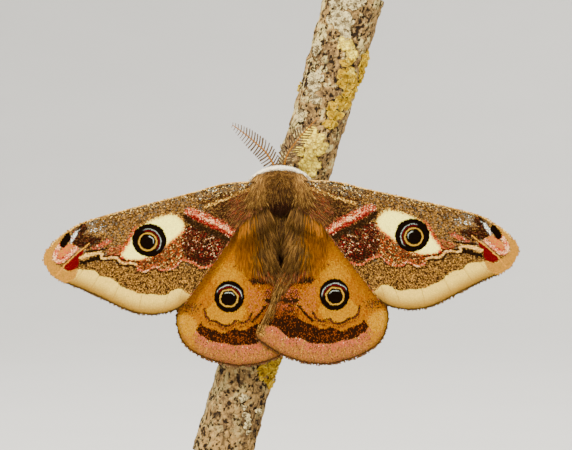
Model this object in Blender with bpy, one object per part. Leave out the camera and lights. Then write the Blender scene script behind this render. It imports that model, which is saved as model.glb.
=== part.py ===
"""A male emperor moth at life size, at rest on a cut length of lichened branch on a display stand.

The moth is worked out in millimetres in its own frame: x across the wings, z from tail to head, and y from
its back, which faces a viewer at -y, to its belly. One empty sets the moth upright over the stand and one
sets the branch behind it.
"""

import math
import random

import bmesh
import bpy
import numpy as np
from mathutils import Matrix, Vector, noise

# General sizes, in millimetres
MM = 0.001
GAP = 0.3
MEMBRANE = 0.5
VEIN_RISE = 0.2
VEIN_HALF_WIDTH = 0.22
VEIN_FADE = 0.12
SEED = 7

# Where the moth and the branch stand
MOTH_HEIGHT = 41.3
MOTH_TURN = math.radians(1.1)
BRANCH_LEAN = math.radians(16.2)
BRANCH_OFFSET = 0.5
BRANCH_RADIUS = 3.6
BRANCH_BEHIND_MOTH = 7.8
BRANCH_LOW = -29.5
BRANCH_HIGH = 32.8
BORE_DEPTH = 6.0

# Lichen crusts on the branch: degrees round it from its front, height, size and number of lobes
CRUSTS = ((28, 27.5, 2.0, 3), (-18, 24.5, 1.4, 3), (46, 18.6, 1.7, 3), (-6, 16.2, 1.5, 3), (60, -15.2, 1.9, 4),
          (6, -19.6, 1.5, 3), (150, 20.0, 2.2, 4), (205, -8.0, 1.9, 3), (240, 13.5, 1.7, 4))

# The display stand
BASE_RADIUS = 24.0
BASE_THICK = 5.0
BASE_OFFSET = -2.0
BASE_ROUNDING = 0.8
ROD_RADIUS = 1.4
ROD_SINK = 3.2

# The trunk of the moth: centres and half sizes of its rounded cores
THORAX_CENTRE = (0.0, 0.3, 5.9)
THORAX_HALF = (3.0, 2.6, 3.4)
THORAX_REAR = 3.3
THORAX_FRONT = 8.6
HEAD_CENTRE = (0.0, 2.2, 8.15)
HEAD_HALF = (1.05, 1.15, 1.0)
EYE_CENTRE = (1.2, 2.5, 8.2)
EYE_HALF = (0.55, 0.75, 0.78)
ABDOMEN_LENGTH = 10.4
ABDOMEN_HALF_WIDTH = 2.2
ABDOMEN_HALF_DEPTH = 1.75
ABDOMEN_SEGMENTS = 7

# Wing outlines, each from the root outwards: leading edge, outer edge and inner edge
FORE_COSTA = ((6.8, 7.0), (10.6, 6.05), (15.9, 4.8), (19.7, 3.9), (23.2, 3.0), (25.6, 2.2), (28.0, 0.65),
              (29.4, -0.7))
FORE_OUTER = (
    (29.4, -0.7), (30.0, -2.1), (29.05, -4.0), (27.6, -5.0), (25.6, -5.8), (23.2, -6.9),
    (19.9, -8.5), (18.15, -9.1), (16.3, -9.3), (14.5, -9.1), (13.1, -8.6), (12.1, -7.9),
)
FORE_INNER = ((4.8, 2.0), (5.8, 0.5), (8.7, -3.4), (11.4, -7.0), (12.1, -7.9))
FORE_ROOT_HEIGHTS = (7.25, 5.9, 4.3)
FORE_VEINS = ((0.11, 0.05, 1.0), (0.24, 0.5, 1.0), (0.37, 0.55, 1.0), (0.5, 0.5, 1.0), (0.65, 0.05, 1.0),
              (0.81, 0.3, 1.0), (0.94, 0.1, 1.0))
HIND_COSTA = ((6.3, 1.9), (9.5, -1.3), (12.0, -4.6), (12.9, -6.6), (13.15, -8.6))
HIND_OUTER = (
    (13.15, -8.6), (13.3, -10.6), (12.4, -13.05), (10.0, -14.8), (6.5, -15.8),
    (4.7, -15.9), (2.8, -15.65), (1.3, -15.15), (-0.55, -14.35), (-3.0, -12.7), (-3.4, -12.0),
)
HIND_INNER = ((1.15, -1.3), (0.0, -4.1), (-1.7, -8.6), (-2.8, -10.4), (-3.4, -12.0))
HIND_ROOT = ((2.55, 3.1), (2.3, 2.0), (1.95, 0.9))
HIND_VEINS = ((0.1, 0.05, 1.0), (0.26, 0.45, 1.0), (0.42, 0.5, 1.0), (0.58, 0.08, 1.0), (0.74, 0.3, 1.0),
              (0.89, 0.1, 1.0))
WING_ROWS = 9

# How far each wing stands off the moth's middle plane, in y
HIND_LEVEL = -1.5
WING_SLOPE = 0.11
HIND_ROOT_LEVEL = -0.45
FORE_ROOT_LEVEL = -1.2
FORE_OVER_HIND = 1.1
FORE_DROP = 0.03
HIND_CROSSING = 0.42
CROSSING_INSIDE = 2.6
CROSSING_OUTSIDE = 7.0
ROOT_BLEND = 4.5
INNER_EDGE_SLOPE = -1.36

# The middle line of a shoulder tuft on the right
TEGULA_LINE = ((1.95, -1.8, 7.85), (2.5, -2.4, 6.6), (2.95, -2.8, 5.2), (3.2, -3.05, 4.2))

# Hair: each row of a hindwing's long locks has its start and end as (u, z) from the body outwards, its number
# of locks, how far they lean inwards and their length
THORAX_LOCK_ROWS = 5
THORAX_LOCK_PITCH = 0.95
HIND_HAIR = (((2.2, 1.0), (1.0, -3.2), 4, -0.3, 3.0), ((3.2, 0.8), (2.3, -3.4), 4, -0.12, 3.2),
             ((4.2, -0.2), (4.1, -3.2), 3, 0.04, 3.2))

# Feelers
SHAFT_RADIUS = 0.28
SHAFT_TIP_RADIUS = 0.18
TINE_PITCH = 0.78
TINE_LENGTH = 1.45
TINE_ROOT = (0.36, 0.5)
LEFT_FEELER = ((-0.6, 1.5, 9.05), (-1.15, 1.3, 10.0), (-1.85, 1.15, 11.05), (-2.95, 0.95, 12.05),
               (-3.95, 0.8, 12.95), (-4.9, 0.7, 13.7), (-5.8, 0.65, 14.35))
RIGHT_FEELER = ((0.6, 1.5, 9.05), (0.82, 1.3, 10.0), (1.3, 1.15, 10.95), (1.85, 0.95, 11.7),
                (2.5, 0.8, 12.5), (3.3, 0.7, 13.4), (4.95, 0.6, 15.05))

# Legs
LEG_HIPS = {"fore": 7.0, "mid": 5.6, "hind": 4.3}
LEG_GRIPS = {"fore": (7.7, 6.0), "mid": (5.6, 4.5), "hind": (3.3, 2.9)}
LEG_RADIUS = 0.3
LEG_CLEARANCE = 0.2
HIP_ANGLE = math.radians(25.6)
KNEE_ANGLES = (-62.0, 50.0)
KNEE_REACH = 1.15

COLOURS = {
    "coat_brown": ((0.16, 0.085, 0.035), 0.95, 0.0),
    "coat_tan": ((0.33, 0.2, 0.09), 0.95, 0.0),
    "coat_white": ((0.85, 0.81, 0.72), 0.95, 0.0),
    "forewing": ((0.22, 0.15, 0.09), 0.85, 0.0),
    "hindwing": ((0.75, 0.36, 0.05), 0.85, 0.0),
    "feeler": ((0.45, 0.28, 0.08), 0.7, 0.0),
    "eye": ((0.02, 0.014, 0.01), 0.25, 0.0),
    "bark": ((0.32, 0.22, 0.13), 0.9, 0.0),
    "stand_wood": ((0.07, 0.035, 0.018), 0.35, 0.0),
    "stand_steel": ((0.55, 0.55, 0.56), 0.3, 1.0),
}


def clear_scene():
    for obj in list(bpy.data.objects):
        bpy.data.objects.remove(obj)


def material(name):
    found = bpy.data.materials.get(name)
    if found:
        return found
    colour, roughness, metallic = COLOURS[name]
    made = bpy.data.materials.new(name)
    made.use_nodes = True
    shader = made.node_tree.nodes["Principled BSDF"]
    shader.inputs["Base Color"].default_value = (*colour, 1.0)
    shader.inputs["Roughness"].default_value = roughness
    shader.inputs["Metallic"].default_value = metallic
    return made


def empty(name, matrix):
    obj = bpy.data.objects.new(name, None)
    bpy.context.scene.collection.objects.link(obj)
    obj.matrix_world = matrix
    return obj


def raw_object(name, shape):
    """An object in millimetres from (points, faces), with its faces turned outwards."""
    points, faces = shape
    mesh = bpy.data.meshes.new(name)
    mesh.from_pydata([tuple(map(float, p)) for p in points], [], [tuple(map(int, f)) for f in faces])
    work = bmesh.new()
    work.from_mesh(mesh)
    bmesh.ops.recalc_face_normals(work, faces=work.faces)
    work.to_mesh(mesh)
    work.free()
    obj = bpy.data.objects.new(name, mesh)
    bpy.context.scene.collection.objects.link(obj)
    return obj


def apply_boolean(obj, operation, shapes, solver):
    """Joins shapes to obj, or cuts them from it, with one modifier that is then applied."""
    group = bpy.data.collections.new(obj.name + "_pieces")
    bpy.context.scene.collection.children.link(group)
    for number, shape in enumerate(shapes):
        piece = raw_object(f"{obj.name}_piece_{number}", shape)
        bpy.context.scene.collection.objects.unlink(piece)
        group.objects.link(piece)
    step = obj.modifiers.new(operation.lower(), "BOOLEAN")
    step.operation = operation
    step.operand_type = "COLLECTION"
    step.collection = group
    step.solver = solver
    graph = bpy.context.evaluated_depsgraph_get()
    mesh = bpy.data.meshes.new_from_object(obj.evaluated_get(graph))
    obj.modifiers.clear()
    obj.data = mesh
    for piece in list(group.objects):
        bpy.data.objects.remove(piece)
    bpy.data.collections.remove(group)


def keep_largest(obj):
    """Drops every closed surface of obj but the largest."""
    work = bmesh.new()
    work.from_mesh(obj.data)
    bmesh.ops.triangulate(work, faces=work.faces)
    left = set(work.faces)
    shells = []
    while left:
        shell = [left.pop()]
        for face in shell:
            for edge in face.edges:
                for other in edge.link_faces:
                    if len(edge.link_faces) == 2 and other in left:
                        left.remove(other)
                        shell.append(other)
        shells.append(shell)
    shells.sort(key=lambda shell: -sum(face.calc_area() for face in shell))
    loose = [face for shell in shells[1:] for face in shell]
    bmesh.ops.delete(work, geom=loose, context="FACES")
    work.to_mesh(obj.data)
    work.free()


def build(name, shape, mat, carrier, joined=(), cut=(), solver="MANIFOLD"):
    """One named piece of the model: a body with what grows from it joined on, cut clear of its neighbours."""
    obj = raw_object(name, shape)
    if joined:
        apply_boolean(obj, "UNION", joined, solver)
    if cut:
        apply_boolean(obj, "DIFFERENCE", cut, solver)
    if joined or cut:
        keep_largest(obj)
    obj.data.transform(Matrix.Scale(MM, 4))
    obj.data.materials.clear()
    obj.data.materials.append(material(mat))
    obj.data.shade_smooth()
    obj.data.set_sharp_from_angle(angle=math.radians(40))
    obj.parent = carrier
    return obj


def smoothstep(value):
    value = np.clip(value, 0.0, 1.0)
    return value * value * (3 - 2 * value)


def unit(vector):
    return np.asarray(vector, float) / max(np.linalg.norm(vector), 1e-9)


class Curve:
    """A smooth curve through points, read by the share of its length."""

    FINE = 16

    def __init__(self, points):
        p = np.array(points, float)
        p = np.vstack([2 * p[0] - p[1], p, 2 * p[-1] - p[-2]])
        line = []
        for a, b, c, d in zip(p, p[1:], p[2:], p[3:]):
            for t in np.arange(self.FINE) / self.FINE:
                bend = (2 * a - 5 * b + 4 * c - d) * t**2 + (3 * b - a - 3 * c + d) * t**3
                line.append(0.5 * (2 * b + (c - a) * t + bend))
        self.line = np.array([*line, p[-2]])
        steps = np.linalg.norm(np.diff(self.line, axis=0), axis=1)
        self.run = np.concatenate([[0.0], np.cumsum(steps)])
        self.length = self.run[-1]

    def at(self, share):
        """The point at a share of the length, or an array of points."""
        wanted = np.clip(share, 0, 1) * self.length
        return np.stack([np.interp(wanted, self.run, column) for column in self.line.T], axis=-1)


def tube(path, radii, sides, flat=1.0, up=(0.0, 1.0, 0.0)):
    """A closed tube along path. Its section is as wide as the radius, and flat times that along up."""
    path = np.array(path, float)
    radii = np.broadcast_to(radii, len(path))
    points, faces = [], []
    for k, centre in enumerate(path):
        along = unit(path[min(k + 1, len(path) - 1)] - path[max(k - 1, 0)])
        across = unit(np.cross(along, up))
        over = np.cross(across, along)
        for j in range(sides):
            turn = 2 * math.pi * j / sides
            points.append(centre + radii[k] * (math.cos(turn) * across + flat * math.sin(turn) * over))
    for k in range(len(path) - 1):
        for j in range(sides):
            a, b = k * sides + j, k * sides + (j + 1) % sides
            faces.append((a, b, b + sides, a + sides))
    faces.append(tuple(range(sides))[::-1])
    faces.append(tuple(range((len(path) - 1) * sides, len(path) * sides)))
    return points, faces


def rounded(centre, half, rings, sides, low=-1.0, high=1.0):
    """An ellipsoid about the z axis through centre, cut flat at the shares of its height low and high."""
    centre, half = np.array(centre), np.array(half)
    first, last = math.asin(low), math.asin(high)
    points, faces, rows = [], [], []
    for k in range(rings + 1):
        rise = first + (last - first) * k / rings
        reach = math.cos(rise)
        if reach < 1e-6:
            rows.append([len(points)])
            points.append(centre + half * (0, 0, math.sin(rise)))
            continue
        rows.append(list(range(len(points), len(points) + sides)))
        for j in range(sides):
            turn = 2 * math.pi * j / sides
            points.append(centre + half * (reach * math.cos(turn), reach * math.sin(turn), math.sin(rise)))
    for lower, upper in zip(rows, rows[1:]):
        for j in range(sides):
            corners = [lower[j % len(lower)], lower[(j + 1) % len(lower)],
                       upper[(j + 1) % len(upper)], upper[j % len(upper)]]
            faces.append(tuple(dict.fromkeys(corners)))
    for row, turned in ((rows[0], True), (rows[-1], False)):
        if len(row) > 1:
            faces.append(tuple(row[::-1] if turned else row))
    return points, faces


def lock(root, normal, lie, length, width, thick=0.5, rise=38.0, fall=-14.0, sink=0.32, parts=3):
    """A flat tapered lock of hair. It leaves the surface at rise degrees and bends over to fall degrees."""
    normal = unit(normal)
    lie = np.array(lie, float)
    lie = unit(lie - normal * lie.dot(normal))
    across = np.cross(lie, normal)
    point = np.array(root, float) - normal * sink
    points, faces = [], []
    for k in range(parts):
        share = k / parts
        angle = math.radians(rise + (fall - rise) * share)
        along = lie * math.cos(angle) + normal * math.sin(angle)
        over = np.cross(across, along)
        wide = width * (0.62 + 0.38 * math.sin(math.pi * min(1.0, share * 1.6))) * (1 - 0.35 * share)
        deep = thick * (0.7 if k == 0 else 1.0 - 0.3 * share)
        points += [point + across * wide / 2, point + over * deep / 2,
                   point - across * wide / 2, point - over * deep / 2]
        point = point + along * (length + sink) / parts
    points.append(point)
    for k in range(parts - 1):
        for j in range(4):
            a, b = 4 * k + j, 4 * k + (j + 1) % 4
            faces.append((a, b, b + 4, a + 4))
    last = 4 * (parts - 1)
    for j in range(4):
        faces.append((last + j, last + (j + 1) % 4, last + 4))
    faces.append((3, 2, 1, 0))
    return points, faces


def ellipsoid_place(centre, half, around, height):
    """The point and outward normal of an ellipsoid at an angle round z, counted from -y towards +x."""
    centre, half = np.array(centre), np.array(half)
    share = (height - centre[2]) / half[2]
    reach = math.sqrt(max(0.0, 1 - share * share))
    point = centre + half * (reach * math.sin(around), -reach * math.cos(around), share)
    return point, unit((point - centre) / half**2)


def thorax_side(y, z):
    """Half the thorax core's width at a depth and height."""
    rest = 1 - ((y - THORAX_CENTRE[1]) / THORAX_HALF[1]) ** 2 - ((z - THORAX_CENTRE[2]) / THORAX_HALF[2]) ** 2
    return THORAX_HALF[0] * math.sqrt(max(0.0, rest))


def hind_level(x, z, side):
    """Depth of a hindwing's middle surface. The right one crosses over the left one behind the body."""
    u = x * side
    level = HIND_LEVEL + WING_SLOPE * math.sqrt(u * u + 0.5)
    crossing = HIND_CROSSING * (1 - smoothstep((u - CROSSING_INSIDE) / (CROSSING_OUTSIDE - CROSSING_INSIDE)))
    off_root = smoothstep(math.hypot(u - HIND_ROOT[1][0], z - HIND_ROOT[1][1]) / ROOT_BLEND)
    return HIND_ROOT_LEVEL * (1 - off_root) + (level - side * crossing) * off_root


def fore_level(x, z, side):
    """Depth of a forewing's middle surface, in front of the hindwing that it covers."""
    u = x * side
    inner_edge = FORE_INNER[0][1] + INNER_EDGE_SLOPE * (u - FORE_INNER[0][0])
    level = HIND_LEVEL + WING_SLOPE * u - FORE_OVER_HIND + FORE_DROP * max(0.0, z - inner_edge)
    off_root = smoothstep(math.hypot(u - 2.2, z - FORE_ROOT_HEIGHTS[1]) / ROOT_BLEND)
    return FORE_ROOT_LEVEL * (1 - off_root) + level * off_root


def wing_columns(veins, section):
    """Shares across a wing at which its rows have points: both edges, and each vein with its two feet."""
    places = [0.0]
    ends = [0.0, *(v[0] for v in veins), 1.0]
    for before, vein, after in zip(ends, ends[1:], ends[2:]):
        foot = min(VEIN_HALF_WIDTH / section, 0.3 * (vein - before), 0.3 * (after - vein))
        places += [vein - foot, vein, vein + foot]
    return [*places, 1.0]


def wing_shape(root, costa, outer, inner, veins, level, side, margin=0.0):
    """A wing as one closed sheet with its veins raised as ridges on the back, or thicker by a margin."""
    edges = (root, (root[0], *costa), outer, (root[-1], *inner))
    root, costa, outer, inner = (Curve(edge) for edge in edges)
    upper, lower = [], []
    for row in range(WING_ROWS + 1):
        t = row / WING_ROWS
        section = np.linalg.norm(costa.at(t) - inner.at(t))
        columns = wing_columns(veins, section)
        for k, s in enumerate(columns):
            corner = ((1 - s) * (1 - t) * root.at(0.0) + s * (1 - t) * root.at(1.0)
                      + (1 - s) * t * outer.at(0.0) + s * t * outer.at(1.0))
            u, z = (1 - s) * costa.at(t) + s * inner.at(t) + (1 - t) * root.at(s) + t * outer.at(s) - corner
            x = u * side
            y = level(x, z, side)
            raised = 0.0
            if k % 3 == 2 and k < len(columns) - 1:
                _, start, end = veins[k // 3]
                begun = smoothstep((t - start) / VEIN_FADE)
                going_on = smoothstep((end + 0.01 - t) / VEIN_FADE + (end == 1.0))
                raised = VEIN_RISE * begun * going_on
            upper.append((x, y - MEMBRANE / 2 - raised - margin, z))
            lower.append((x, y + MEMBRANE / 2 + margin, z))
    wide = len(columns)
    back = len(upper)
    faces = []
    for row in range(WING_ROWS):
        for k in range(wide - 1):
            a = row * wide + k
            for corners in ((a, a + 1, a + wide + 1), (a, a + wide + 1, a + wide)):
                faces.append(corners)
                faces.append(tuple(back + c for c in corners[::-1]))
    ring = list(range(wide))
    ring += [row * wide + wide - 1 for row in range(1, WING_ROWS + 1)]
    ring += [WING_ROWS * wide + k for k in range(wide - 2, -1, -1)]
    ring += [row * wide for row in range(WING_ROWS - 1, 0, -1)]
    for a, b in zip(ring, ring[1:] + ring[:1]):
        faces.append((a, b, b + back))
        faces.append((a, b + back, a + back))
    return upper + lower, faces


def forewing_shape(side, margin=0.0):
    root = [(thorax_side(FORE_ROOT_LEVEL, z) + GAP, z) for z in FORE_ROOT_HEIGHTS]
    return wing_shape(root, FORE_COSTA, FORE_OUTER, FORE_INNER, FORE_VEINS, fore_level, side, margin)


def hindwing_shape(side, margin=0.0):
    return wing_shape(HIND_ROOT, HIND_COSTA, HIND_OUTER, HIND_INNER, HIND_VEINS, hind_level, side, margin)


def abdomen_station(share):
    """Centre, half width and half depth of the abdomen at a share of its length from the thorax."""
    z = THORAX_REAR - GAP - ABDOMEN_LENGTH * share
    swell = 0.84 + 0.16 * math.sin(math.pi * min(1.0, share * 2.2) / 1.1)
    taper = 1 - 0.8 * smoothstep((share - 0.45) / 0.62)
    groove = 1 - 0.035 * (0.5 + 0.5 * math.cos(2 * math.pi * share * ABDOMEN_SEGMENTS))
    centre = np.array((0.0, 1.25 + 0.35 * smoothstep(share * 2.0) + 0.1 * share, z))
    scale = swell * taper * groove
    return centre, ABDOMEN_HALF_WIDTH * scale, ABDOMEN_HALF_DEPTH * scale


def abdomen_shape(sides=14, rings=14):
    points, faces = [], []
    for k in range(rings + 1):
        centre, wide, deep = abdomen_station(k / rings)
        for j in range(sides):
            turn = 2 * math.pi * j / sides
            points.append(centre + (wide * math.sin(turn), -deep * math.cos(turn), 0))
    for k in range(rings):
        for j in range(sides):
            a, b = k * sides + j, k * sides + (j + 1) % sides
            faces.append((a, b, b + sides, a + sides))
    faces.append(tuple(range(sides)))
    faces.append(tuple(range(rings * sides, (rings + 1) * sides))[::-1])
    return points, faces


def thorax_locks(chance):
    """Fur over the back of the thorax, lying towards the tail."""
    locks = []
    for row in range(THORAX_LOCK_ROWS):
        height = 7.7 - row * THORAX_LOCK_PITCH
        count = 3 + row % 2
        for k in range(count):
            around = math.radians((k / (count - 1) - 0.5) * (60 + 14 * (row % 2)) + chance.uniform(-3, 3))
            point, normal = ellipsoid_place(THORAX_CENTRE, THORAX_HALF, around, height)
            lie = (0.25 * math.sin(around) + chance.uniform(-0.1, 0.1), 0.0, -1.0)
            length = chance.uniform(2.2, 2.6)
            locks.append(lock(point, normal, lie, length, chance.uniform(1.45, 1.65), rise=40))
    return locks


def thorax(moth):
    low = (THORAX_REAR - THORAX_CENTRE[2]) / THORAX_HALF[2]
    high = (THORAX_FRONT - THORAX_CENTRE[2]) / THORAX_HALF[2]
    core = rounded(THORAX_CENTRE, THORAX_HALF, 8, 18, low, high)
    clear = [rounded(HEAD_CENTRE, np.array(HEAD_HALF) + GAP, 8, 14), *collar_shapes(GAP)]
    for side in (-1, 1):
        clear += [eye_shape(side, GAP), forewing_shape(side, GAP), *tegula_shapes(side, GAP)]
    build("thorax", core, "coat_brown", moth, joined=thorax_locks(random.Random(SEED)), cut=clear)


def collar_shapes(margin=0.0):
    """The pale ruff round the front of the thorax: a band, and short tufts that stand outwards from it."""
    chance = random.Random(SEED + 1)
    right = [(1.15, -0.6, 8.68), (2.2, -0.35, 8.42), (3.15, 0.0, 7.95), (3.75, 0.35, 7.35)]
    left = [(-x, y, z) for x, y, z in right[::-1]]
    arch = Curve([*left, (0.0, -0.7, 8.76), *right])
    shares = np.linspace(0, 1, 13)
    shapes = [tube(arch.at(shares), 0.26 + 0.07 * np.sin(math.pi * shares) + margin, 8, flat=2.6)]
    count = 15
    for k in range(count):
        share = 0.04 + 0.92 * k / (count - 1)
        along = unit(arch.at(share + 0.01) - arch.at(share - 0.01))
        outward = unit(np.cross(along, (0, 1, 0)))
        outward = outward if outward[2] > 0 else -outward
        root = arch.at(share) + outward * 0.1 + (0.0, (-0.55, 0.1)[k % 2], 0.0)
        lie = (chance.uniform(-0.4, 0.4), -1.0, 0.0)
        shapes.append(lock(root, outward, lie, 0.85, 0.75 + 2 * margin, 0.5 + 2 * margin,
                           rise=48, fall=0, sink=0.1))
    return shapes


def collar(moth):
    band, *tufts = collar_shapes()
    build("collar", band, "coat_white", moth, joined=tufts)


def tegula_shapes(side, margin=0.0):
    """The shoulder tuft that lies over a forewing's root: a flat pad and the locks that hide it."""
    chance = random.Random(SEED + 2 + side)
    line = Curve([(x * side, y, z) for x, y, z in TEGULA_LINE])
    radii = np.array((0.32, 0.5, 0.58, 0.52, 0.36, 0.18)) + margin
    shapes = [tube(line.at(np.linspace(0, 1, 6)), radii, 6, flat=0.5)]
    count = 7
    for k in range(count):
        share = 0.05 + 0.75 * k / (count - 1)
        root = line.at(share) + (side * (-0.25, 0.2)[k % 2], -0.1, 0.0)
        lie = (side * (0.02 + 0.3 * (k % 2)), 0.0, -1.0)
        shapes.append(lock(root, (0.1 * side, -1, 0.1), lie, chance.uniform(1.7, 2.2), 0.85 + 2 * margin,
                           0.5 + 2 * margin, rise=24, fall=-2, sink=0.12))
    return shapes


def tegula(moth, side, name):
    pad, *locks = tegula_shapes(side)
    build(name, pad, "coat_tan", moth, joined=locks, cut=[forewing_shape(side, GAP)])


def abdomen(moth):
    """The abdomen, furred in rings that lie back over its segments."""
    chance = random.Random(SEED + 9)
    locks = []
    for ring in range(1, ABDOMEN_SEGMENTS):
        share = ring / ABDOMEN_SEGMENTS - 0.05
        centre, wide, deep = abdomen_station(share)
        count = 8 if ring < 5 else 6
        for k in range(count):
            around = 360.0 * (k + 0.5 * (ring % 2)) / count + chance.uniform(-5, 5)
            from_back = abs((around + 180) % 360 - 180)
            if ring > 2 and from_back < 65 or from_back > 150:
                continue
            turn = math.radians(around)
            point = centre + (wide * math.sin(turn), -deep * math.cos(turn), 0)
            normal = (math.sin(turn) / wide, -math.cos(turn) / deep, 0)
            locks.append(lock(point, normal, (0, 0, -1), 1.7, 0.95, rise=24, fall=-8, sink=0.3))
    tail = abdomen_station(0.97)[0]
    for k in range(5):
        turn = 2 * math.pi * k / 5
        normal = (math.cos(turn), math.sin(turn), -0.5)
        root = tail + unit(normal) * 0.25
        locks.append(lock(root, normal, (0, 0, -1), 1.2, 0.6, rise=10, fall=-10, sink=0.2))
    fat_wings = [hindwing_shape(side, GAP) for side in (-1, 1)]
    build("abdomen", abdomen_shape(), "coat_brown", moth, joined=locks, cut=fat_wings)


def eye_shape(side, margin=0.0):
    return rounded((EYE_CENTRE[0] * side, *EYE_CENTRE[1:]), np.array(EYE_HALF) + margin, 7, 12)


def head(moth):
    """The small head, bent down under the collar, with its brow tufts and palps."""
    core = rounded(HEAD_CENTRE, HEAD_HALF, 6, 12)
    tufts = []
    for k in range(5):
        turn = math.radians(-56 + 28 * k)
        normal = (math.sin(turn), 0.5, 0.55)
        root = np.array(HEAD_CENTRE) + np.array(HEAD_HALF) * unit(normal) * 0.9
        tufts.append(lock(root, normal, (0, 0.9, -0.4), 0.75, 0.6, rise=30, fall=-20, sink=0.25))
    for side in (-1, 1):
        tufts.append(tube([(0.3 * side, 3.0, 8.0), (0.38 * side, 3.45, 8.1), (0.36 * side, 3.85, 8.45)],
                          (0.3, 0.28, 0.12), 6, up=(0, 0, 1)))
    build("head", core, "coat_brown", moth, joined=tufts, cut=[eye_shape(side, GAP) for side in (-1, 1)])
    for side, name in ((-1, "eye_left"), (1, "eye_right")):
        build(name, eye_shape(side), "eye", moth)


def feeler(moth, line, name):
    """One feathery antenna: a jointed shaft with a row of tines down each side."""
    curve = Curve(line)
    shares = np.linspace(0, 1, 9)
    radii = SHAFT_RADIUS + (SHAFT_TIP_RADIUS - SHAFT_RADIUS) * shares
    tines = []
    count = int(curve.length / TINE_PITCH)
    for k in range(1, count):
        share = k / count
        along = unit(curve.at(share + 0.02) - curve.at(share - 0.02))
        across = unit(np.cross(along, (0, 1, 0)))
        reach = TINE_LENGTH * math.sin(math.pi * (0.2 + 0.72 * share)) ** 0.8
        for side in (-1, 1):
            out = unit(across * side + along * 0.42 + np.array((0, 0.12, 0)))
            root = curve.at(share + 0.25 * side / count) - out * 0.1
            bend = root + out * reach * 0.55
            tip = bend + unit(out + along * 0.35) * reach * 0.45
            tines.append(tine(root, bend, tip))
    build(name, tube(curve.at(shares), radii, 6), "feeler", moth, joined=tines)


def tine(root, bend, tip, size=TINE_ROOT):
    """One tapered tine of a feeler, or a claw: its size at the root is its width, and its depth in y."""
    points, faces = [], []
    along = unit(bend - root)
    deep = np.array((0.0, 1.0, 0.0))
    wide = unit(np.cross(along, deep))
    for place, scale in ((root, 1.0), (bend, 0.7)):
        for across, over in ((1, 1), (1, -1), (-1, -1), (-1, 1)):
            points.append(place + (wide * across * size[0] + deep * over * size[1]) / 2 * scale)
    points.append(tip)
    for j in range(4):
        faces.append((j, (j + 1) % 4, (j + 1) % 4 + 4, j + 4))
        faces.append((4 + j, 4 + (j + 1) % 4, 8))
    faces.append((3, 2, 1, 0))
    return points, faces


def hind_locks(side, chance):
    """Long hair on a hindwing that flows from its root down beside the body."""
    locks = []
    for start, end, count, inward, length in HIND_HAIR:
        for k in range(count):
            u, z = np.array(start) + (np.array(end) - start) * k / (count - 1)
            u += chance.uniform(-0.12, 0.12)
            tip_u = max(u + inward * length, uncovered_from(side, z - length))
            lie = (side * (tip_u - u) / length, 0.0, -1.0)
            root = (u * side, hind_level(u * side, z, side) - MEMBRANE / 2, z)
            locks.append(lock(root, (0, -1, 0), lie, length, 1.05, rise=18, fall=-6, sink=0.2))
    return locks


def uncovered_from(side, z):
    """How far out a hindwing's hair stays at a height. The left one's keeps clear of the right wing."""
    if side > 0:
        return 0.65
    return max(0.65, 1.2 + 0.42 * (-3.6 - z))


def wings(moth):
    for side, name in ((-1, "left"), (1, "right")):
        build(f"forewing_{name}", forewing_shape(side), "forewing", moth)
        hair = hind_locks(side, random.Random(SEED + 20))
        build(f"hindwing_{name}", hindwing_shape(side), "hindwing", moth, joined=hair)


def branch_axis(z):
    """The branch's middle line in the moth's frame, at a height."""
    lean = BRANCH_LEAN + MOTH_TURN
    return np.array((BRANCH_OFFSET + math.tan(lean) * z, BRANCH_BEHIND_MOTH, z))


def round_branch(z, angle, distance):
    """A point round the branch, at an angle from its front and a distance from its middle."""
    turn = math.radians(angle)
    return branch_axis(z) + (distance * math.sin(turn), -distance * math.cos(turn), 0)


def leg(moth, pair, side, name):
    """One leg, from the chest round the side of the branch, with two claws."""
    right = side > 0
    grip = LEG_GRIPS[pair][right]
    hold = BRANCH_RADIUS + GAP + LEG_RADIUS + LEG_CLEARANCE
    hip, normal = ellipsoid_place(THORAX_CENTRE, THORAX_HALF, math.pi - HIP_ANGLE * side, LEG_HIPS[pair])
    thigh = hip + normal * (GAP + 0.5)
    knee = round_branch((LEG_HIPS[pair] + grip) / 2 + 0.2, KNEE_ANGLES[right], hold + KNEE_REACH)
    wrist = round_branch(grip, 82 * side, hold + 0.05)
    path = [hip + normal * (GAP + 0.06), thigh, (thigh + knee) / 2 + (0.1 * side, -0.05, 0), knee,
            (knee + wrist) / 2 + (0.14 * side, 0, 0), wrist]
    path += [round_branch(grip, angle * side, hold) for angle in (97, 112, 127, 140)]
    radii = (0.3, 0.33, 0.38, 0.4, 0.36, 0.28, 0.26, 0.26, 0.25, 0.22)
    claws = []
    for way in (-1, 1):
        root = round_branch(grip, 136 * side, hold)
        bend = round_branch(grip + way * 0.35, 144 * side, hold + 0.02)
        claws.append(tine(root, bend, round_branch(grip + way * 0.42, 152 * side, hold - 0.15), (0.3, 0.36)))
    build(name, tube(path, radii, 7, up=(0, 0, 1)), "coat_tan", moth, joined=claws)


def bark_shape(sides=18, rings=24):
    """The branch about its own axis, with a ridged and pitted bark, cut square at both ends."""
    points, faces = [], []
    for k in range(rings + 1):
        z = BRANCH_LOW + (BRANCH_HIGH - BRANCH_LOW) * k / rings
        for j in range(sides):
            turn = 2 * math.pi * j / sides
            points.append((*(bark_radius(turn, z) * np.array((math.cos(turn), math.sin(turn)))), z))
    for k in range(rings):
        for j in range(sides):
            a, b = k * sides + j, k * sides + (j + 1) % sides
            faces.append((a, b, b + sides, a + sides))
    faces.append(tuple(range(sides))[::-1])
    faces.append(tuple(range(rings * sides, (rings + 1) * sides)))
    return points, faces


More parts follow.
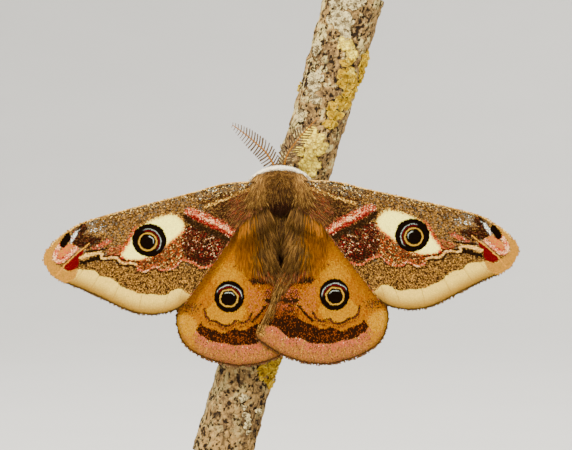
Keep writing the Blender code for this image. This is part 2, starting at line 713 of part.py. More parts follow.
def bark_radius(turn, z):
    """The branch's radius, a little thicker at both ends, with shallow ridges."""
    swell = 0.32 * smoothstep((-z - 8) / 20) + 0.3 * smoothstep((z - 16) / 16)
    ridges = 0.16 * noise.noise(Vector((2.2 * math.cos(turn), 2.2 * math.sin(turn), z * 0.35)))
    return BRANCH_RADIUS - 0.1 + swell + ridges


def lichen_plate(around, z, size, lobes, chance):
    """A flat lobed lichen crust wrapped on the bark, its underside sunk in."""
    rim = []
    count = 4 * lobes
    for k in range(count):
        turn = 2 * math.pi * k / count
        rim.append(size * (1 + (0.16 if k % 4 in (1, 2) else -0.1) + chance.uniform(-0.06, 0.06))
                   * np.array((math.cos(turn), math.sin(turn))))
    points = []
    for rise in (-0.35, 0.32):
        for across, up in [(0.0, 0.0), *rim]:
            turn = math.radians(around) + across / BRANCH_RADIUS
            radius = bark_radius(turn - math.pi / 2, z + up) + rise
            points.append((radius * math.sin(turn), -radius * math.cos(turn), z + up))
    faces = []
    for k in range(count):
        a, b = 1 + k, 1 + (k + 1) % count
        top = count + 1
        faces += [(0, b, a), (top, top + a, top + b), (a, b, top + b), (a, top + b, top + a)]
    return points, faces


def perch(branch):
    """The cut length of branch, crusted with lichen and bored from below for the rod."""
    chance = random.Random(SEED + 40)
    plates = [lichen_plate(around, z, size, lobes, chance) for around, z, size, lobes in CRUSTS]
    bore = tube([(0, 0, BRANCH_LOW - 2), (0, 0, BRANCH_LOW + BORE_DEPTH)], ROD_RADIUS + GAP, 20)
    build("perch", bark_shape(), "bark", branch, joined=plates, cut=[bore])


def stand(branch):
    """A flat turned base and the short rod that leans up from it into the branch."""
    foot = (BASE_THICK - ROD_SINK + GAP - MOTH_HEIGHT) / math.cos(BRANCH_LEAN)
    rod = tube([(0, 0, foot), (0, 0, BRANCH_LOW + BORE_DEPTH - GAP)], ROD_RADIUS, 20)
    build("stand_rod", rod, "stand_steel", branch)
    steps = 3
    edge = [(BASE_RADIUS - BASE_ROUNDING * (1 - math.cos(math.pi / 2 * k / steps)),
             BASE_THICK - BASE_ROUNDING * (1 - math.sin(math.pi / 2 * k / steps))) for k in range(steps + 1)]
    disc = turned([(BASE_RADIUS - 0.3, 0.0), (BASE_RADIUS, 0.4), *edge], 48)
    lean = Matrix.Rotation(BRANCH_LEAN, 3, "Y")
    pivot = Vector((BRANCH_OFFSET - BASE_OFFSET, 0, MOTH_HEIGHT))
    bore = [pivot + lean @ Vector((0, 0, z)) for z in (foot - GAP, foot + 12)]
    hole = tube([tuple(p) for p in bore], ROD_RADIUS + GAP, 20)
    base = build("stand_base", disc, "stand_wood", None, cut=[hole])
    base.location = (BASE_OFFSET * MM, 0, 0)


def turned(profile, sides):
    """A solid turned about z from (radius, height) pairs that run up its outside."""
    points, faces = [], []
    for radius, z in profile:
        for j in range(sides):
            turn = 2 * math.pi * j / sides
            points.append((radius * math.cos(turn), radius * math.sin(turn), z))
    for k in range(len(profile) - 1):
        for j in range(sides):
            a, b = k * sides + j, k * sides + (j + 1) % sides
            faces.append((a, b, b + sides, a + sides))
    faces.append(tuple(range(sides))[::-1])
    faces.append(tuple(range((len(profile) - 1) * sides, len(profile) * sides)))
    return points, faces


def main():
    clear_scene()
    height = MOTH_HEIGHT * MM
    stance = Matrix.Translation((0, -BRANCH_BEHIND_MOTH * MM, height)) @ Matrix.Rotation(-MOTH_TURN, 4, "Y")
    moth = empty("moth", stance)
    slope = Matrix.Translation((BRANCH_OFFSET * MM, 0, height)) @ Matrix.Rotation(BRANCH_LEAN, 4, "Y")
    branch = empty("branch", slope)
    thorax(moth)
    collar(moth)
    abdomen(moth)
    head(moth)
    wings(moth)
    feeler(moth, LEFT_FEELER, "antenna_left")
    feeler(moth, RIGHT_FEELER, "antenna_right")
    for side, name in ((-1, "left"), (1, "right")):
        tegula(moth, side, f"tegula_{name}")
        for pair in LEG_HIPS:
            leg(moth, pair, side, f"leg_{pair}_{name}")
    perch(branch)
    stand(branch)


main()
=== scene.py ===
"""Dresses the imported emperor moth: skin, wing scales, fur, feelers, lichened branch, stand and studio.

Places are worked out in millimetres. On the moth, x runs across the wings, z from tail to head, and y from
the back, which faces a viewer at -y, to the belly. On the branch, z runs along its middle line. A place on a
wing is (u, z), where u is the distance from the moth's middle plane.
"""
import math
from itertools import product

import bmesh
import bpy
import numpy as np
from bpy.props import FloatProperty, FloatVectorProperty, IntProperty, PointerProperty
from mathutils import Matrix, Vector, noise


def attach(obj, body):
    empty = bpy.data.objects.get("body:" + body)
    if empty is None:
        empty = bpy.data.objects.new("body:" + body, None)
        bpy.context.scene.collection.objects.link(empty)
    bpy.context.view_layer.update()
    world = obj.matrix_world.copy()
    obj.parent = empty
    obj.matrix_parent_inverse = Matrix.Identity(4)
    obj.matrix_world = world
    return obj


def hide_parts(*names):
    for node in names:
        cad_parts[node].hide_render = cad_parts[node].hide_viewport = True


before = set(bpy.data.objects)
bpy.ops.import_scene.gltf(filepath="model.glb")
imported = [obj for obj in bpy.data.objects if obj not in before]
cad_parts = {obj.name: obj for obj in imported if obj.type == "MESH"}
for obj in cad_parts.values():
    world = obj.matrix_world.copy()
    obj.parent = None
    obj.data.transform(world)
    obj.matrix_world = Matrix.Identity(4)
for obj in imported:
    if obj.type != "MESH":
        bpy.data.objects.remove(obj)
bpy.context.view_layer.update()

bl_info = {
    "name": "Emperor Moth Dresser",
    "version": (1, 0, 0),
    "blender": (4, 5, 0),
    "location": "3D View > Sidebar > Moth",
    "description": "Makes the scales, fur, feelers, perch and studio of a life-size emperor moth",
    "category": "Object",
}

MM = 0.001
GAP = 0.3


def rows(width, *numbers):
    """Numbers in rows of a width, such as 2 for places on a wing."""
    return np.reshape(np.array(numbers, float), (-1, width))


# Where the moth and the branch stand, as in the solids
MOTH_HEIGHT = 41.3
MOTH_TURN = math.radians(1.1)
BRANCH_LEAN = math.radians(16.2)
BRANCH_OFFSET = 0.5
BRANCH_RADIUS = 3.6
BRANCH_BEHIND_MOTH = 7.8
BRANCH_LOW = -29.5
BRANCH_HIGH = 32.8
BORE_DEPTH = 6.0
BASE_RADIUS = 24.0
BASE_THICK = 5.0
BASE_OFFSET = -2.0
ROD_RADIUS = 1.4
ROD_SINK = 3.2
MOTH = Matrix.Translation((0, -BRANCH_BEHIND_MOTH, MOTH_HEIGHT)) @ Matrix.Rotation(-MOTH_TURN, 4, "Y")
BRANCH = Matrix.Translation((BRANCH_OFFSET, 0, MOTH_HEIGHT)) @ Matrix.Rotation(BRANCH_LEAN, 4, "Y")

# The trunk's skin: height, depth of its middle, half width and half depth
TRUNK = rows(
    4, -7.6, 1.75, 0.25, 0.25, -6.8, 1.75, 0.8, 0.65, -5, 1.72, 1.25, 1, -3, 1.64, 1.7, 1.3,
    0, 1.5, 2, 1.55, 2.5, 1.2, 1.85, 1.5, 3.3, 0.9, 1.95, 1.6, 4.2, 0.5, 2.5, 2.15,
    5.9, 0.3, 2.85, 2.45, 7.3, 0.4, 2.5, 2.1, 8.1, 0.9, 1.6, 1.6, 8.5, 1.5, 1.1, 1.25, 9, 2, 0.75, 0.9,
    9.25, 2.2, 0.3, 0.35,
)
COLLAR = rows(
    3, -3.75, -0.35, 7.15, -3.05, -0.35, 7.75, -2.1, -0.35, 8.25, -1.1, -0.35, 8.5, 0, -0.4, 8.58,
    1.1, -0.35, 8.5, 2.1, -0.35, 8.25, 3.05, -0.35, 7.75, 3.75, -0.35, 7.15,
)
THORAX_CENTRE = (0.0, 0.3, 5.9)
THORAX_HALF = (3.0, 2.6, 3.4)
HEAD_CENTRE = (0.0, 2.2, 8.15)
HEAD_HALF = (1.0, 1.1, 0.95)
EYE_CENTRE = (1.2, 2.5, 8.2)
EYE_HALF = (0.55, 0.75, 0.78)
EYES = [(EYE_CENTRE[0] * side, *EYE_CENTRE[1:]) for side in (-1, 1)]
SHOULDER_ARC = rows(3, 2.0, -1.2, 7.9, 2.35, -1.85, 6.9, 2.75, -2.2, 5.7, 2.95, -2.35, 4.7)
SEGMENT = 1.49

# Wing outlines from the root outwards, and each vein's share across, start and end
FORE_ROOT = rows(2, 1.8, 7.25, 2.1, 5.9, 1.7, 4.3)
FORE_COSTA = rows(2, 6.8, 7, 10.6, 6.05, 15.9, 4.8, 19.7, 3.9, 23.2, 3, 25.6, 2.2, 28, 0.65, 29.4, -0.7)
FORE_OUTER = rows(
    2, 29.4, -0.7, 30, -2.1, 29.05, -4, 27.6, -5, 25.6, -5.8, 23.2, -6.9, 19.9, -8.5, 18.15, -9.1,
    16.3, -9.3, 14.5, -9.1, 13.1, -8.6, 12.1, -7.9,
)
FORE_INNER = rows(2, 4.8, 2, 5.8, 0.5, 8.7, -3.4, 11.4, -7, 12.1, -7.9)
FORE_VEINS = rows(
    2, 0.05, 0, 0.11, 0.05, 0.24, 0.5, 0.37, 0.55, 0.5, 0.5, 0.65, 0.05, 0.81, 0.3, 0.94, 0.1,
)
HIND_ROOT = rows(2, 1.7, 3.1, 1.45, 2, 1.2, 0.9)
HIND_COSTA = rows(2, 6.3, 1.9, 9.5, -1.3, 12, -4.6, 12.9, -6.6, 13.15, -8.6)
HIND_OUTER = rows(
    2, 13.15, -8.6, 13.3, -10.6, 12.4, -13.05, 10, -14.8, 6.5, -15.8, 4.7, -15.9, 2.8, -15.65, 1.3, -15.15,
    -0.55, -14.35, -3, -12.7, -3.4, -12,
)
HIND_INNER = rows(2, 1.15, -1.3, 0, -4.1, -1.7, -8.6, -2.8, -10.4, -3.4, -12)
HIND_VEINS = rows(2, 0.1, 0.05, 0.26, 0.45, 0.42, 0.5, 0.58, 0.08, 0.74, 0.3, 0.89, 0.1)
FORE_FAN = (0.5, 8.0)
HIND_FAN = (2.5, 6.0)
MEMBRANE = 0.13
VEIN_RISE = 0.08
VEIN_HALF_WIDTH = 0.13

# Levels of the wings, as in the solids
HIND_LEVEL = -1.5
WING_SLOPE = 0.11
HIND_ROOT_LEVEL = -0.2
FORE_ROOT_LEVEL = -1.2
FORE_OVER_HIND = 1.1
FORE_DROP = 0.03
HIND_CROSSING = 0.42
CROSSING_INSIDE = 2.6
CROSSING_OUTSIDE = 7.0
ROOT_BLEND = 4.5

# How far from the hindwing's inner edge its long hair reaches, by height
HIND_HAIR_REACH = ((-10.6, -6.5, -4.6, -3.2, -1.5, 1.5, 3.4), (0.9, 1.0, 1.7, 2.9, 3.8, 3.9, 3.0))

# Feelers and legs, as in the solids
LEFT_FEELER = rows(
    3, -0.6, 1.5, 9.05, -1.15, 1.3, 10, -1.85, 1.15, 11.05, -2.95, 0.95, 12.05, -3.95, 0.8, 12.95,
    -4.9, 0.7, 13.7, -5.8, 0.65, 14.35,
)
RIGHT_FEELER = rows(
    3, 0.6, 1.5, 9.05, 0.82, 1.3, 10, 1.3, 1.15, 10.95, 1.85, 0.95, 11.7, 2.5, 0.8, 12.5, 3.3, 0.7, 13.4,
    4.95, 0.6, 15.05,
)
LEG_HIPS = {"fore": 7.0, "mid": 5.6, "hind": 4.3}
LEG_GRIPS = {"fore": (7.7, 6.0), "mid": (5.6, 4.5), "hind": (3.3, 2.9)}
LEG_RADIUS = 0.3
LEG_CLEARANCE = 0.2
LEG_HOLD = BRANCH_RADIUS + GAP + LEG_RADIUS + LEG_CLEARANCE
LEG_RADII = (0.42, 0.42, 0.36, 0.36, 0.3, 0.27, 0.19, 0.17, 0.16, 0.15, 0.13)
HIP_ANGLE = math.radians(25.6)
KNEE_ANGLES = (-62.0, 50.0)
KNEE_REACH = 1.15

# Surface colours: what each is for, and its red, green and blue
COLOURS = {
    "ink": ("Eyespots and the apex spot", (0.004, 0.002, 0.001)),
    "soot": ("Darkest wing scales", (0.011, 0.005, 0.002)),
    "umber": ("Dark brown wing scales", (0.026, 0.01, 0.003)),
    "brown": ("Brown wing scales", (0.052, 0.024, 0.008)),
    "tan": ("Tan wing scales", (0.149, 0.072, 0.018)),
    "straw": ("Straw wing scales", (0.411, 0.198, 0.03)),
    "pale": ("Pale wing scales", (0.8, 0.52, 0.13)),
    "blue_grey": ("Grey scales of the leading edge", (0.105, 0.096, 0.07)),
    "blue_white": ("Blue-white crescents", (0.75, 0.85, 0.78)),
    "cream": ("Cream patch round the eyespot", (0.95, 0.86, 0.2)),
    "honey": ("Shaded edge of the cream patch", (0.564, 0.24, 0.015)),
    "ring": ("Tan ring of an eyespot", (0.37, 0.2, 0.02)),
    "red": ("Red lines", (0.146, 0.004, 0.005)),
    "crimson": ("Crimson apex mark", (0.088, 0.002, 0.0025)),
    "pink": ("Pink scales", (0.48, 0.065, 0.028)),
    "rose_white": ("Pink-white bands", (0.78, 0.47, 0.24)),
    "rust": ("Orange-red scales", (0.34, 0.04, 0.004)),
    "rust_brown": ("Rusty brown scales", (0.092, 0.025, 0.01)),
    "wine": ("Wine-dark scales", (0.022, 0.0025, 0.002)),
    "margin_cream": ("Inner margin band", (0.68, 0.48, 0.085)),
    "margin_tan": ("Middle of the margin band", (0.27, 0.137, 0.016)),
    "margin_edge": ("Outer edge of the margin band", (0.066, 0.034, 0.012)),
    "apex_tan": ("Tan wing tip", (0.38, 0.17, 0.02)),
    "orange": ("Hindwing ground", (0.245, 0.078, 0.0003)),
    "gold": ("Golden parts of the hindwing", (0.285, 0.11, 0.0003)),
    "yellow": ("Yellow spots of the hindwing", (0.38, 0.178, 0.0006)),
    "orange_fleck": ("Orange flecks in the dark band", (0.17, 0.035, 0.003)),
    "band_brown": ("Dark band of the hindwing", (0.017, 0.005, 0.002)),
    "hem_pink": ("Pink of the hindwing's margin", (0.34, 0.082, 0.04)),
    "hem_orange": ("Orange of the hindwing's margin", (0.29, 0.105, 0.017)),
    "hem_edge": ("Outer edge of the hindwing", (0.057, 0.024, 0.008)),
    "fur_dark": ("Dark fur", (0.022, 0.009, 0.003)),
    "fur_brown": ("Brown fur", (0.09, 0.039, 0.01)),
    "fur_red": ("Red-brown fur", (0.042, 0.012, 0.004)),
    "fur_tan": ("Tan fur", (0.27, 0.13, 0.028)),
    "fur_pale": ("Pale fur", (0.5, 0.27, 0.06)),
    "fur_olive": ("Olive-brown fur", (0.125, 0.062, 0.012)),
    "fur_gold": ("Golden-orange fur", (0.37, 0.12, 0.0005)),
    "fur_orange": ("Bright orange fur", (0.38, 0.125, 0.0003)),
    "white": ("White collar", (0.97, 0.91, 0.76)),
    "shaft": ("Shaft of a feeler", (0.25, 0.09, 0.0003)),
    "tine": ("Tines of a feeler", (0.075, 0.041, 0.017)),
    "bark_tan": ("Tan bark", (0.26, 0.155, 0.05)),
    "bark_brown": ("Brown bark", (0.085, 0.048, 0.02)),
    # Near black, for specks and for the painted shade of the bark's pits and cracks
    "bark_dark": ("Pits of the bark", (0.016, 0.008, 0.003)),
    "bark_grey": ("Pale crust on the bark", (0.5, 0.4, 0.16)),
    "lichen_gold": ("Golden lichen", (0.4, 0.23, 0.0006)),
    "lichen_pale": ("Pale yellow lichen", (0.9, 0.73, 0.1)),
    "lichen_white": ("Grey-white lichen", (0.56, 0.46, 0.23)),
    "lichen_shadow": ("Shaded parts of the lichens", (0.12, 0.066, 0.008)),
}


def tint(name):
    """A surface colour as it is set in the panel."""
    return np.array(getattr(bpy.context.scene.moth_colours, name))


def size(name):
    """A size from the panel, in millimetres."""
    return getattr(bpy.context.scene.moth_sizes, name) / MM


# Shapes


def smoothstep(value):
    value = np.clip(value, 0.0, 1.0)
    return value * value * (3 - 2 * value)


def unit(vectors):
    vectors = np.asarray(vectors, float)
    return vectors / np.maximum(np.linalg.norm(vectors, axis=-1, keepdims=True), 1e-9)


class Curve:
    """A smooth curve through points, read by the share of its length."""

    FINE = 16

    def __init__(self, points):
        p = np.array(points, float)
        p = np.vstack([2 * p[0] - p[1], p, 2 * p[-1] - p[-2]])
        line = []
        for a, b, c, d in zip(p, p[1:], p[2:], p[3:]):
            for t in np.arange(self.FINE) / self.FINE:
                bend = (2 * a - 5 * b + 4 * c - d) * t**2 + (3 * b - a - 3 * c + d) * t**3
                line.append(0.5 * (2 * b + (c - a) * t + bend))
        self.line = np.array([*line, p[-2]])
        steps = np.linalg.norm(np.diff(self.line, axis=0), axis=1)
        self.run = np.concatenate([[0.0], np.cumsum(steps)])
        self.length = self.run[-1]

    def at(self, share):
        """The point at a share of the length, or an array of points."""
        wanted = np.clip(share, 0, 1) * self.length
        return np.stack([np.interp(wanted, self.run, column) for column in self.line.T], axis=-1)


def tube(path, radii, sides, flat=1.0, up=(0.0, 1.0, 0.0)):
    """A closed tube along path. Its section is as wide as the radius, and flat times that along up."""
    path = np.array(path, float)
    radii = np.broadcast_to(radii, len(path))
    ahead = unit(np.vstack([path[1:], path[-1]]) - np.vstack([path[0], path[:-1]]))
    across = unit(np.cross(ahead, up))
    over = np.cross(across, ahead)
    turn = turns_of(sides)
    ring = np.cos(turn)[:, None] * across[:, None] + flat * np.sin(turn)[:, None] * over[:, None]
    points = (path[:, None] + radii[:, None, None] * ring).reshape(-1, 3)
    points = np.vstack([points, path[0], path[-1]])
    return points, loft_faces(len(path), sides)


def loft_faces(rings, sides):
    """Faces between rings of points, with a fan at each end round a last pair of points."""
    k = np.arange(rings - 1)[:, None] * sides
    j = np.arange(sides)[None]
    after = (j + 1) % sides
    quads = np.stack([k + j, k + after, k + after + sides, k + j + sides], -1).reshape(-1, 4)
    first = rings * sides
    last = (rings - 1) * sides
    j = j[0]
    after = after[0]
    low = np.stack([after, j, np.full(sides, first)], -1)
    high = np.stack([last + j, last + after, np.full(sides, first + 1)], -1)
    return [quads, np.vstack([low, high])]


def turns_of(sides):
    """Angles evenly round a circle."""
    return 2 * math.pi * np.arange(sides) / sides


def circle(turns, radius, z):
    """Points round the z axis."""
    return np.stack(np.broadcast_arrays(radius * np.cos(turns), radius * np.sin(turns), z), -1)


def band(outer, inner):
    """Faces between two rings of corners."""
    return np.stack([outer, np.roll(outer, -1), np.roll(inner, -1), inner], -1)


def fan(outer, tip):
    """Faces from a ring of corners to one point."""
    return np.stack([outer, np.roll(outer, -1), np.full(len(outer), tip)], -1)


def ellipsoid(centre, half, rings=24, sides=36):
    """A closed ellipsoid."""
    rise = np.linspace(-0.5, 0.5, rings + 2)[1:-1] * math.pi
    turn = turns_of(sides)
    ring = np.stack([np.cos(rise)[:, None] * np.cos(turn), np.cos(rise)[:, None] * np.sin(turn),
                     np.sin(rise)[:, None] + 0 * turn], -1).reshape(-1, 3)
    points = np.vstack([ring, (0, 0, -1), (0, 0, 1)]) * half + centre
    return points, loft_faces(rings, sides)


def joined(shapes):
    """Several shapes as one set of points and faces."""
    points = []
    faces = []
    start = 0
    for shape_points, shape_faces in shapes:
        points.append(shape_points)
        faces += [rows + start for rows in shape_faces]
        start += len(shape_points)
    return np.vstack(points), faces


def mesh_of(name, points, faces, outward=False):
    """A mesh from points and arrays of corners, with its faces turned outwards on request."""
    mesh = bpy.data.meshes.new(name)
    corners = np.concatenate([rows.ravel() for rows in faces]).astype(np.int32)
    sizes = np.concatenate([np.full(len(rows), rows.shape[1]) for rows in faces])
    mesh.vertices.add(len(points))
    mesh.vertices.foreach_set("co", np.asarray(points, np.float32).ravel())
    mesh.loops.add(len(corners))
    mesh.loops.foreach_set("vertex_index", corners)
    mesh.polygons.add(len(sizes))
    mesh.polygons.foreach_set("loop_start", (np.cumsum(sizes) - sizes).astype(np.int32))
    mesh.update(calc_edges=True)
    if outward:
        work = bmesh.new()
        work.from_mesh(mesh)
        bmesh.ops.recalc_face_normals(work, faces=work.faces)
        work.to_mesh(mesh)
        work.free()
    return mesh


def placed(name, data):
    """A new object in the scene."""
    made = bpy.data.objects.new(name, data)
    bpy.context.scene.collection.objects.link(made)
    return made


def finished(mesh, materials, stance, replaces=(), smooth=True):
    """Sets a mesh in millimetres in its place, in metres, as a piece that rides on the model."""
    mesh.transform(Matrix.Scale(MM, 4) @ stance)
    for material in materials:
        mesh.materials.append(material)
    mesh.polygons.foreach_set("use_smooth", np.full(len(mesh.polygons), smooth))
    mesh.update()
    piece = placed(mesh.name, mesh)
    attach(piece, "root")
    if replaces:
        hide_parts(*replaces)


def write(mesh, name, values):
    """A colour, vector or number for every point of a mesh, which its material reads."""
    values = np.asarray(values, np.float32)
    if name == "paint":
        values = np.hstack([values, np.ones((len(values), 1), np.float32)])
        mesh.attributes.new(name, "FLOAT_COLOR", "POINT").data.foreach_set("color", values.ravel())
    elif values.ndim == 2:
        mesh.attributes.new(name, "FLOAT_VECTOR", "POINT").data.foreach_set("vector", values.ravel())
    else:
        mesh.attributes.new(name, "FLOAT", "POINT").data.foreach_set("value", values)


def write_bake_map(mesh, flat):
    """The map that a coat's colours are baked through: a small patch for each tuft, at its root's place."""
    corners = np.zeros(len(mesh.loops), np.int32)
    mesh.loops.foreach_get("vertex_index", corners)
    layer = mesh.uv_layers.new(name="OFBake")
    layer.data.foreach_set("uv", flat[corners].astype(np.float32).ravel())


# Marks on a flat wing


def distance(place, line):
    """How far each place is from a line of points."""
    best = np.full(len(place), 1e9)
    for a, b in zip(line[:-1], line[1:]):
        along = b - a
        share = np.clip((place - a) @ along / max(along @ along, 1e-9), 0, 1)
        best = np.minimum(best, np.linalg.norm(place - a - share[:, None] * along, axis=1))
    return best


def within(place, outline):
    """Which places lie inside a closed outline."""
    u, z = place.T
    inside = np.zeros(len(place), bool)
    for a, b in zip(outline, np.roll(outline, -1, axis=0)):
        if a[1] == b[1]:
            continue
        crosses = (a[1] > z) != (b[1] > z)
        inside ^= crosses & (u < a[0] + (z - a[1]) / (b[1] - a[1]) * (b[0] - a[0]))
    return inside


def depth_in(place, outline):
    """Distance inside a closed outline, below 0 outside it."""
    outline = np.array(outline, float)
    off = distance(place, np.vstack([outline, outline[0]]))
    return np.where(within(place, outline), off, -off)


def area(place, outline, soft=0.15):
    """From 0 outside an outline to 1 inside it."""
    return smoothstep(0.5 + depth_in(place, outline) / soft)


def line(place, points, width, soft=0.1):
    """From 0 to 1 on a line of a width."""
    return smoothstep(0.5 + (width / 2 - distance(place, np.array(points, float))) / soft)


def spot(place, centre, half, soft=0.3):
    """From 0 to 1 inside an ellipse."""
    off = np.linalg.norm((place - centre) / half, axis=1)
    return smoothstep(0.5 + (1 - off) / soft)


class Coat:
    """The colours of a coat's scales or hairs, with blends laid over one another where marks ask for them.

    A blend such as "soot 3 tan 1" names colours and their shares.
    """

    def __init__(self, place, seed, blend):
        self.place = place
        self.chance = np.random.default_rng(seed)
        self.colour = self.pick(blend)

    def pick(self, blend):
        """One colour of a blend for each scale."""
        words = blend.split()
        shares = np.array(words[1::2], float)
        which = self.chance.choice(len(shares), size=len(self.place), p=shares / shares.sum())
        return np.array([tint(name) for name in words[::2]])[which]

    def lay(self, mask, blend):
        """Gives each scale a blend's colour as often as its mask says, from 0 to 1."""
        covered = self.chance.random(len(self.place)) < mask
        self.colour[covered] = self.pick(blend)[covered]

    def fill(self, outline, soft, blend, share=1.0):
        self.lay(area(self.place, outline, soft) * share, blend)

    def stroke(self, points, width, soft, blend, share=1.0):
        self.lay(line(self.place, points, width, soft) * share, blend)

    def dab(self, centre, half, soft, blend, share=1.0):
        self.lay(spot(self.place, centre, half, soft) * share, blend)

    def wash(self, mask, name):
        """Moves the colours towards one colour by a mask."""
        self.colour += (tint(name) - self.colour) * np.reshape(mask, (-1, 1))

    def varied(self, by):
        """The colours, each a little lighter or darker."""
        return self.colour * self.chance.uniform(1 - by, 1 + by, (len(self.place), 1))


# Forewing marks, as outlines and lines in (u, z)
CREAM_PATCH = rows(
    2, 12, 1.9, 12.3, 2.5, 12.9, 3.1, 13.6, 3.35, 14.6, 3.2, 15.5, 2.9, 16.6, 2.45, 17.6, 1.95, 18.4, 1.2,
    18.95, 0.3, 19.3, -0.4, 19.7, -1, 20.15, -1.5, 20.2, -1.9, 19.8, -2.3, 19.2, -2.5, 18.4, -2.6,
    17.6, -2.45, 16.6, -2.1, 15.2, -1.35, 14.3, -0.6, 13.6, -0.1, 12.8, 0.5, 12.2, 1.1,
)
BASAL_CORE = rows(2, 6.2, 0.75, 7, 1.4, 8, 2, 9, 2.45, 9.8, 2.9, 10.7, 3.3, 11.4, 3.45)
BASAL_RED = rows(2, 6, 0.3, 6.5, 0.55, 7.2, 1, 8, 1.4, 9, 1.8, 10, 2.35, 11, 2.85)
BASAL_SHADE = rows(
    2, 6.1, 0, 7, 0.75, 8, 1.15, 9, 1.55, 10, 2.1, 11, 2.6, 12.1, 3.4, 12.4, 3.1, 11.8, 2.3, 10.8, 1.5,
    9.8, 1, 8.6, 0.45, 7.6, 0.05, 7, -0.4, 6.6, -0.7,
)
WINE_AREA = rows(
    2, 6.8, 0, 8.2, 0.6, 9.6, 1.2, 11, 1.8, 12.2, 1.6, 12.4, -0.6, 12.2, -2.2, 11, -2.9, 9.2, -3.2,
    8.2, -2.4, 7.3, -1.2,
)
WINE_DARK = rows(2, 8.5, -2, 9.6, -2.1, 11.2, -1.8, 11.9, -2.2, 11, -2.8, 9.2, -3.05)
RUST_AREA = rows(
    2, 11.2, 0.9, 12.8, 0.4, 14.2, -0.7, 15.6, -1.65, 17, -2.3, 18.2, -2.7, 18.1, -3.4, 17.4, -3.8,
    16.2, -3.4, 15.2, -3.6, 14, -3.6, 12.8, -2.8, 12.2, -2.2, 11.8, -0.8,
)
SCALLOPS = rows(
    2, 8.7, -3.2, 9.3, -3.5, 10.3, -3.5, 10.9, -2.9, 11.8, -2.7, 12.3, -2.4, 12.9, -2.95, 13.6, -3.55,
    14.4, -3.75, 15.2, -3.75, 15.8, -3.25, 16.3, -3.5, 16.9, -3.85, 17.5, -3.9, 18.1, -3.6, 18.25, -3.1,
)
ZIGZAG = rows(
    2, 18.25, -3, 19, -2.8, 19.9, -2.9, 20.35, -2.55, 20.75, -2.1, 21.6, -2.05, 22.3, -2.25, 22.75, -2.05,
    22.6, -1.65, 23, -1.4, 24, -1.55, 25, -2,
)
ZIGZAG_SHADE = rows(
    2, 18.4, -3.2, 19.6, -3.15, 20.4, -3.1, 20.85, -2.45, 21.8, -2.45, 22.75, -2.4, 22.95, -1.85,
)
ZIGZAG_ABOVE = rows(2, 17.9, -2.65, 19.4, -2.6, 20.2, -2.3, 20.4, -1.95, 21.4, -1.85, 22.3, -2)
CREAM_WEDGE = rows(
    2, 22.7, -1.25, 23.6, -1.4, 24.6, -1.5, 25.3, -1.85, 25.6, -2.1, 25.1, -2.3, 24.2, -1.9, 23.2, -1.65,
)
BLACK_STREAK = rows(
    2, 22.9, -1.8, 23.7, -1.9, 24.6, -2.3, 25.4, -2.5, 25.5, -3, 24.8, -2.95, 23.7, -2.5, 22.9, -2.4,
)
PINK_STREAK = rows(
    2, 21.3, 0.25, 22.2, 0.05, 23, -0.35, 23.9, -0.75, 23.6, -1.1, 22.6, -0.75, 21.6, -0.3,
)
PINK_SPOT = rows(2, 20.2, -0.5, 21.3, -0.9, 22.1, -1.3, 21.9, -1.8, 20.9, -1.8, 20.2, -1.2)
MAROON = rows(
    2, 22.4, 0.35, 23.4, 0.6, 24.6, 0.75, 25.6, 1, 26.4, 0.3, 26.5, -0.45, 25.6, -0.7, 24.9, -0.8,
    24.2, -1, 23.2, -0.4,
)
GREY_SPECKS = rows(2, 21.6, 2.5, 24.6, 2.5, 25, 1.3, 23.6, 1, 22.2, 1.2)
APEX_DARK = rows(2, 24.6, 2.35, 25.4, 2.1, 26, 1.3, 25.8, 0.6, 25, 0.8, 24.4, 1.6)
APEX_SPOT = rows(
    2, 26.65, 1.2, 27.2, 1, 27.6, 0.4, 27.95, -0.15, 27.95, -0.6, 27.4, -0.75, 26.9, -0.1, 26.5, 0.5,
)
APEX_STREAK = rows(
    2, 25.6, 1.5, 26.1, 1.25, 26.5, 0.6, 26.85, -0.05, 26.5, -0.15, 26.1, 0.35, 25.7, 0.9,
)
APEX_CORE = rows(
    2, 26, -0.5, 26.6, -0.2, 27.2, -0.6, 27.8, -0.9, 28.3, -1.4, 28.3, -2.1, 27.7, -2.05, 27, -1.5,
)
APEX_LOOP = rows(
    2, 25.8, -0.85, 26.5, -1.4, 27.1, -2, 27.7, -2.4, 28.25, -2.5, 28.65, -2.15, 28.65, -1.6, 28.35, -1,
    28, -0.5,
)
CRIMSON_MARK = rows(
    2, 24.9, -1, 25.5, -1.2, 26.3, -1.9, 27.2, -2.7, 27.6, -3.2, 27.35, -3.6, 26.6, -3.7, 25.7, -3.3,
    25.55, -2.6, 25.5, -2, 25.1, -1.6,
)
APEX_VEIN = rows(2, 24.2, -0.25, 24.8, -0.75, 25.6, -1.3, 26.5, -2.1, 27.4, -2.95, 28.4, -4.2)
APEX_TAN = rows(
    2, 25.7, -3.35, 27.3, -3.7, 27.7, -3.3, 28.6, -2.8, 29, -2.2, 28.9, -1.4, 28.4, -0.6, 27.9, 0.1,
    26.9, 1.4, 25.8, 2, 28.2, 1, 31, -1, 30.6, -3.4, 28.2, -5.6, 26, -4.6,
)
MARGIN_INNER = rows(
    2, 11.2, -7.2, 12, -6.7, 12.6, -6.15, 13.3, -6.2, 13.9, -6.5, 14.4, -6.85, 15.2, -6.95, 16, -6.8,
    17, -6.8, 18, -6.7, 18.6, -6.45, 19.4, -6.1, 20.2, -5.8, 20.8, -5.2, 21.3, -4.8, 22, -4.55,
    22.9, -4.45, 23.2, -4, 23.6, -3.7, 24.4, -3.6, 25.2, -3.55, 26, -3.5, 27.6, -3.5, 29, -2.9,
    29.5, -2,
)
MARGIN_WIDTH = 2.35
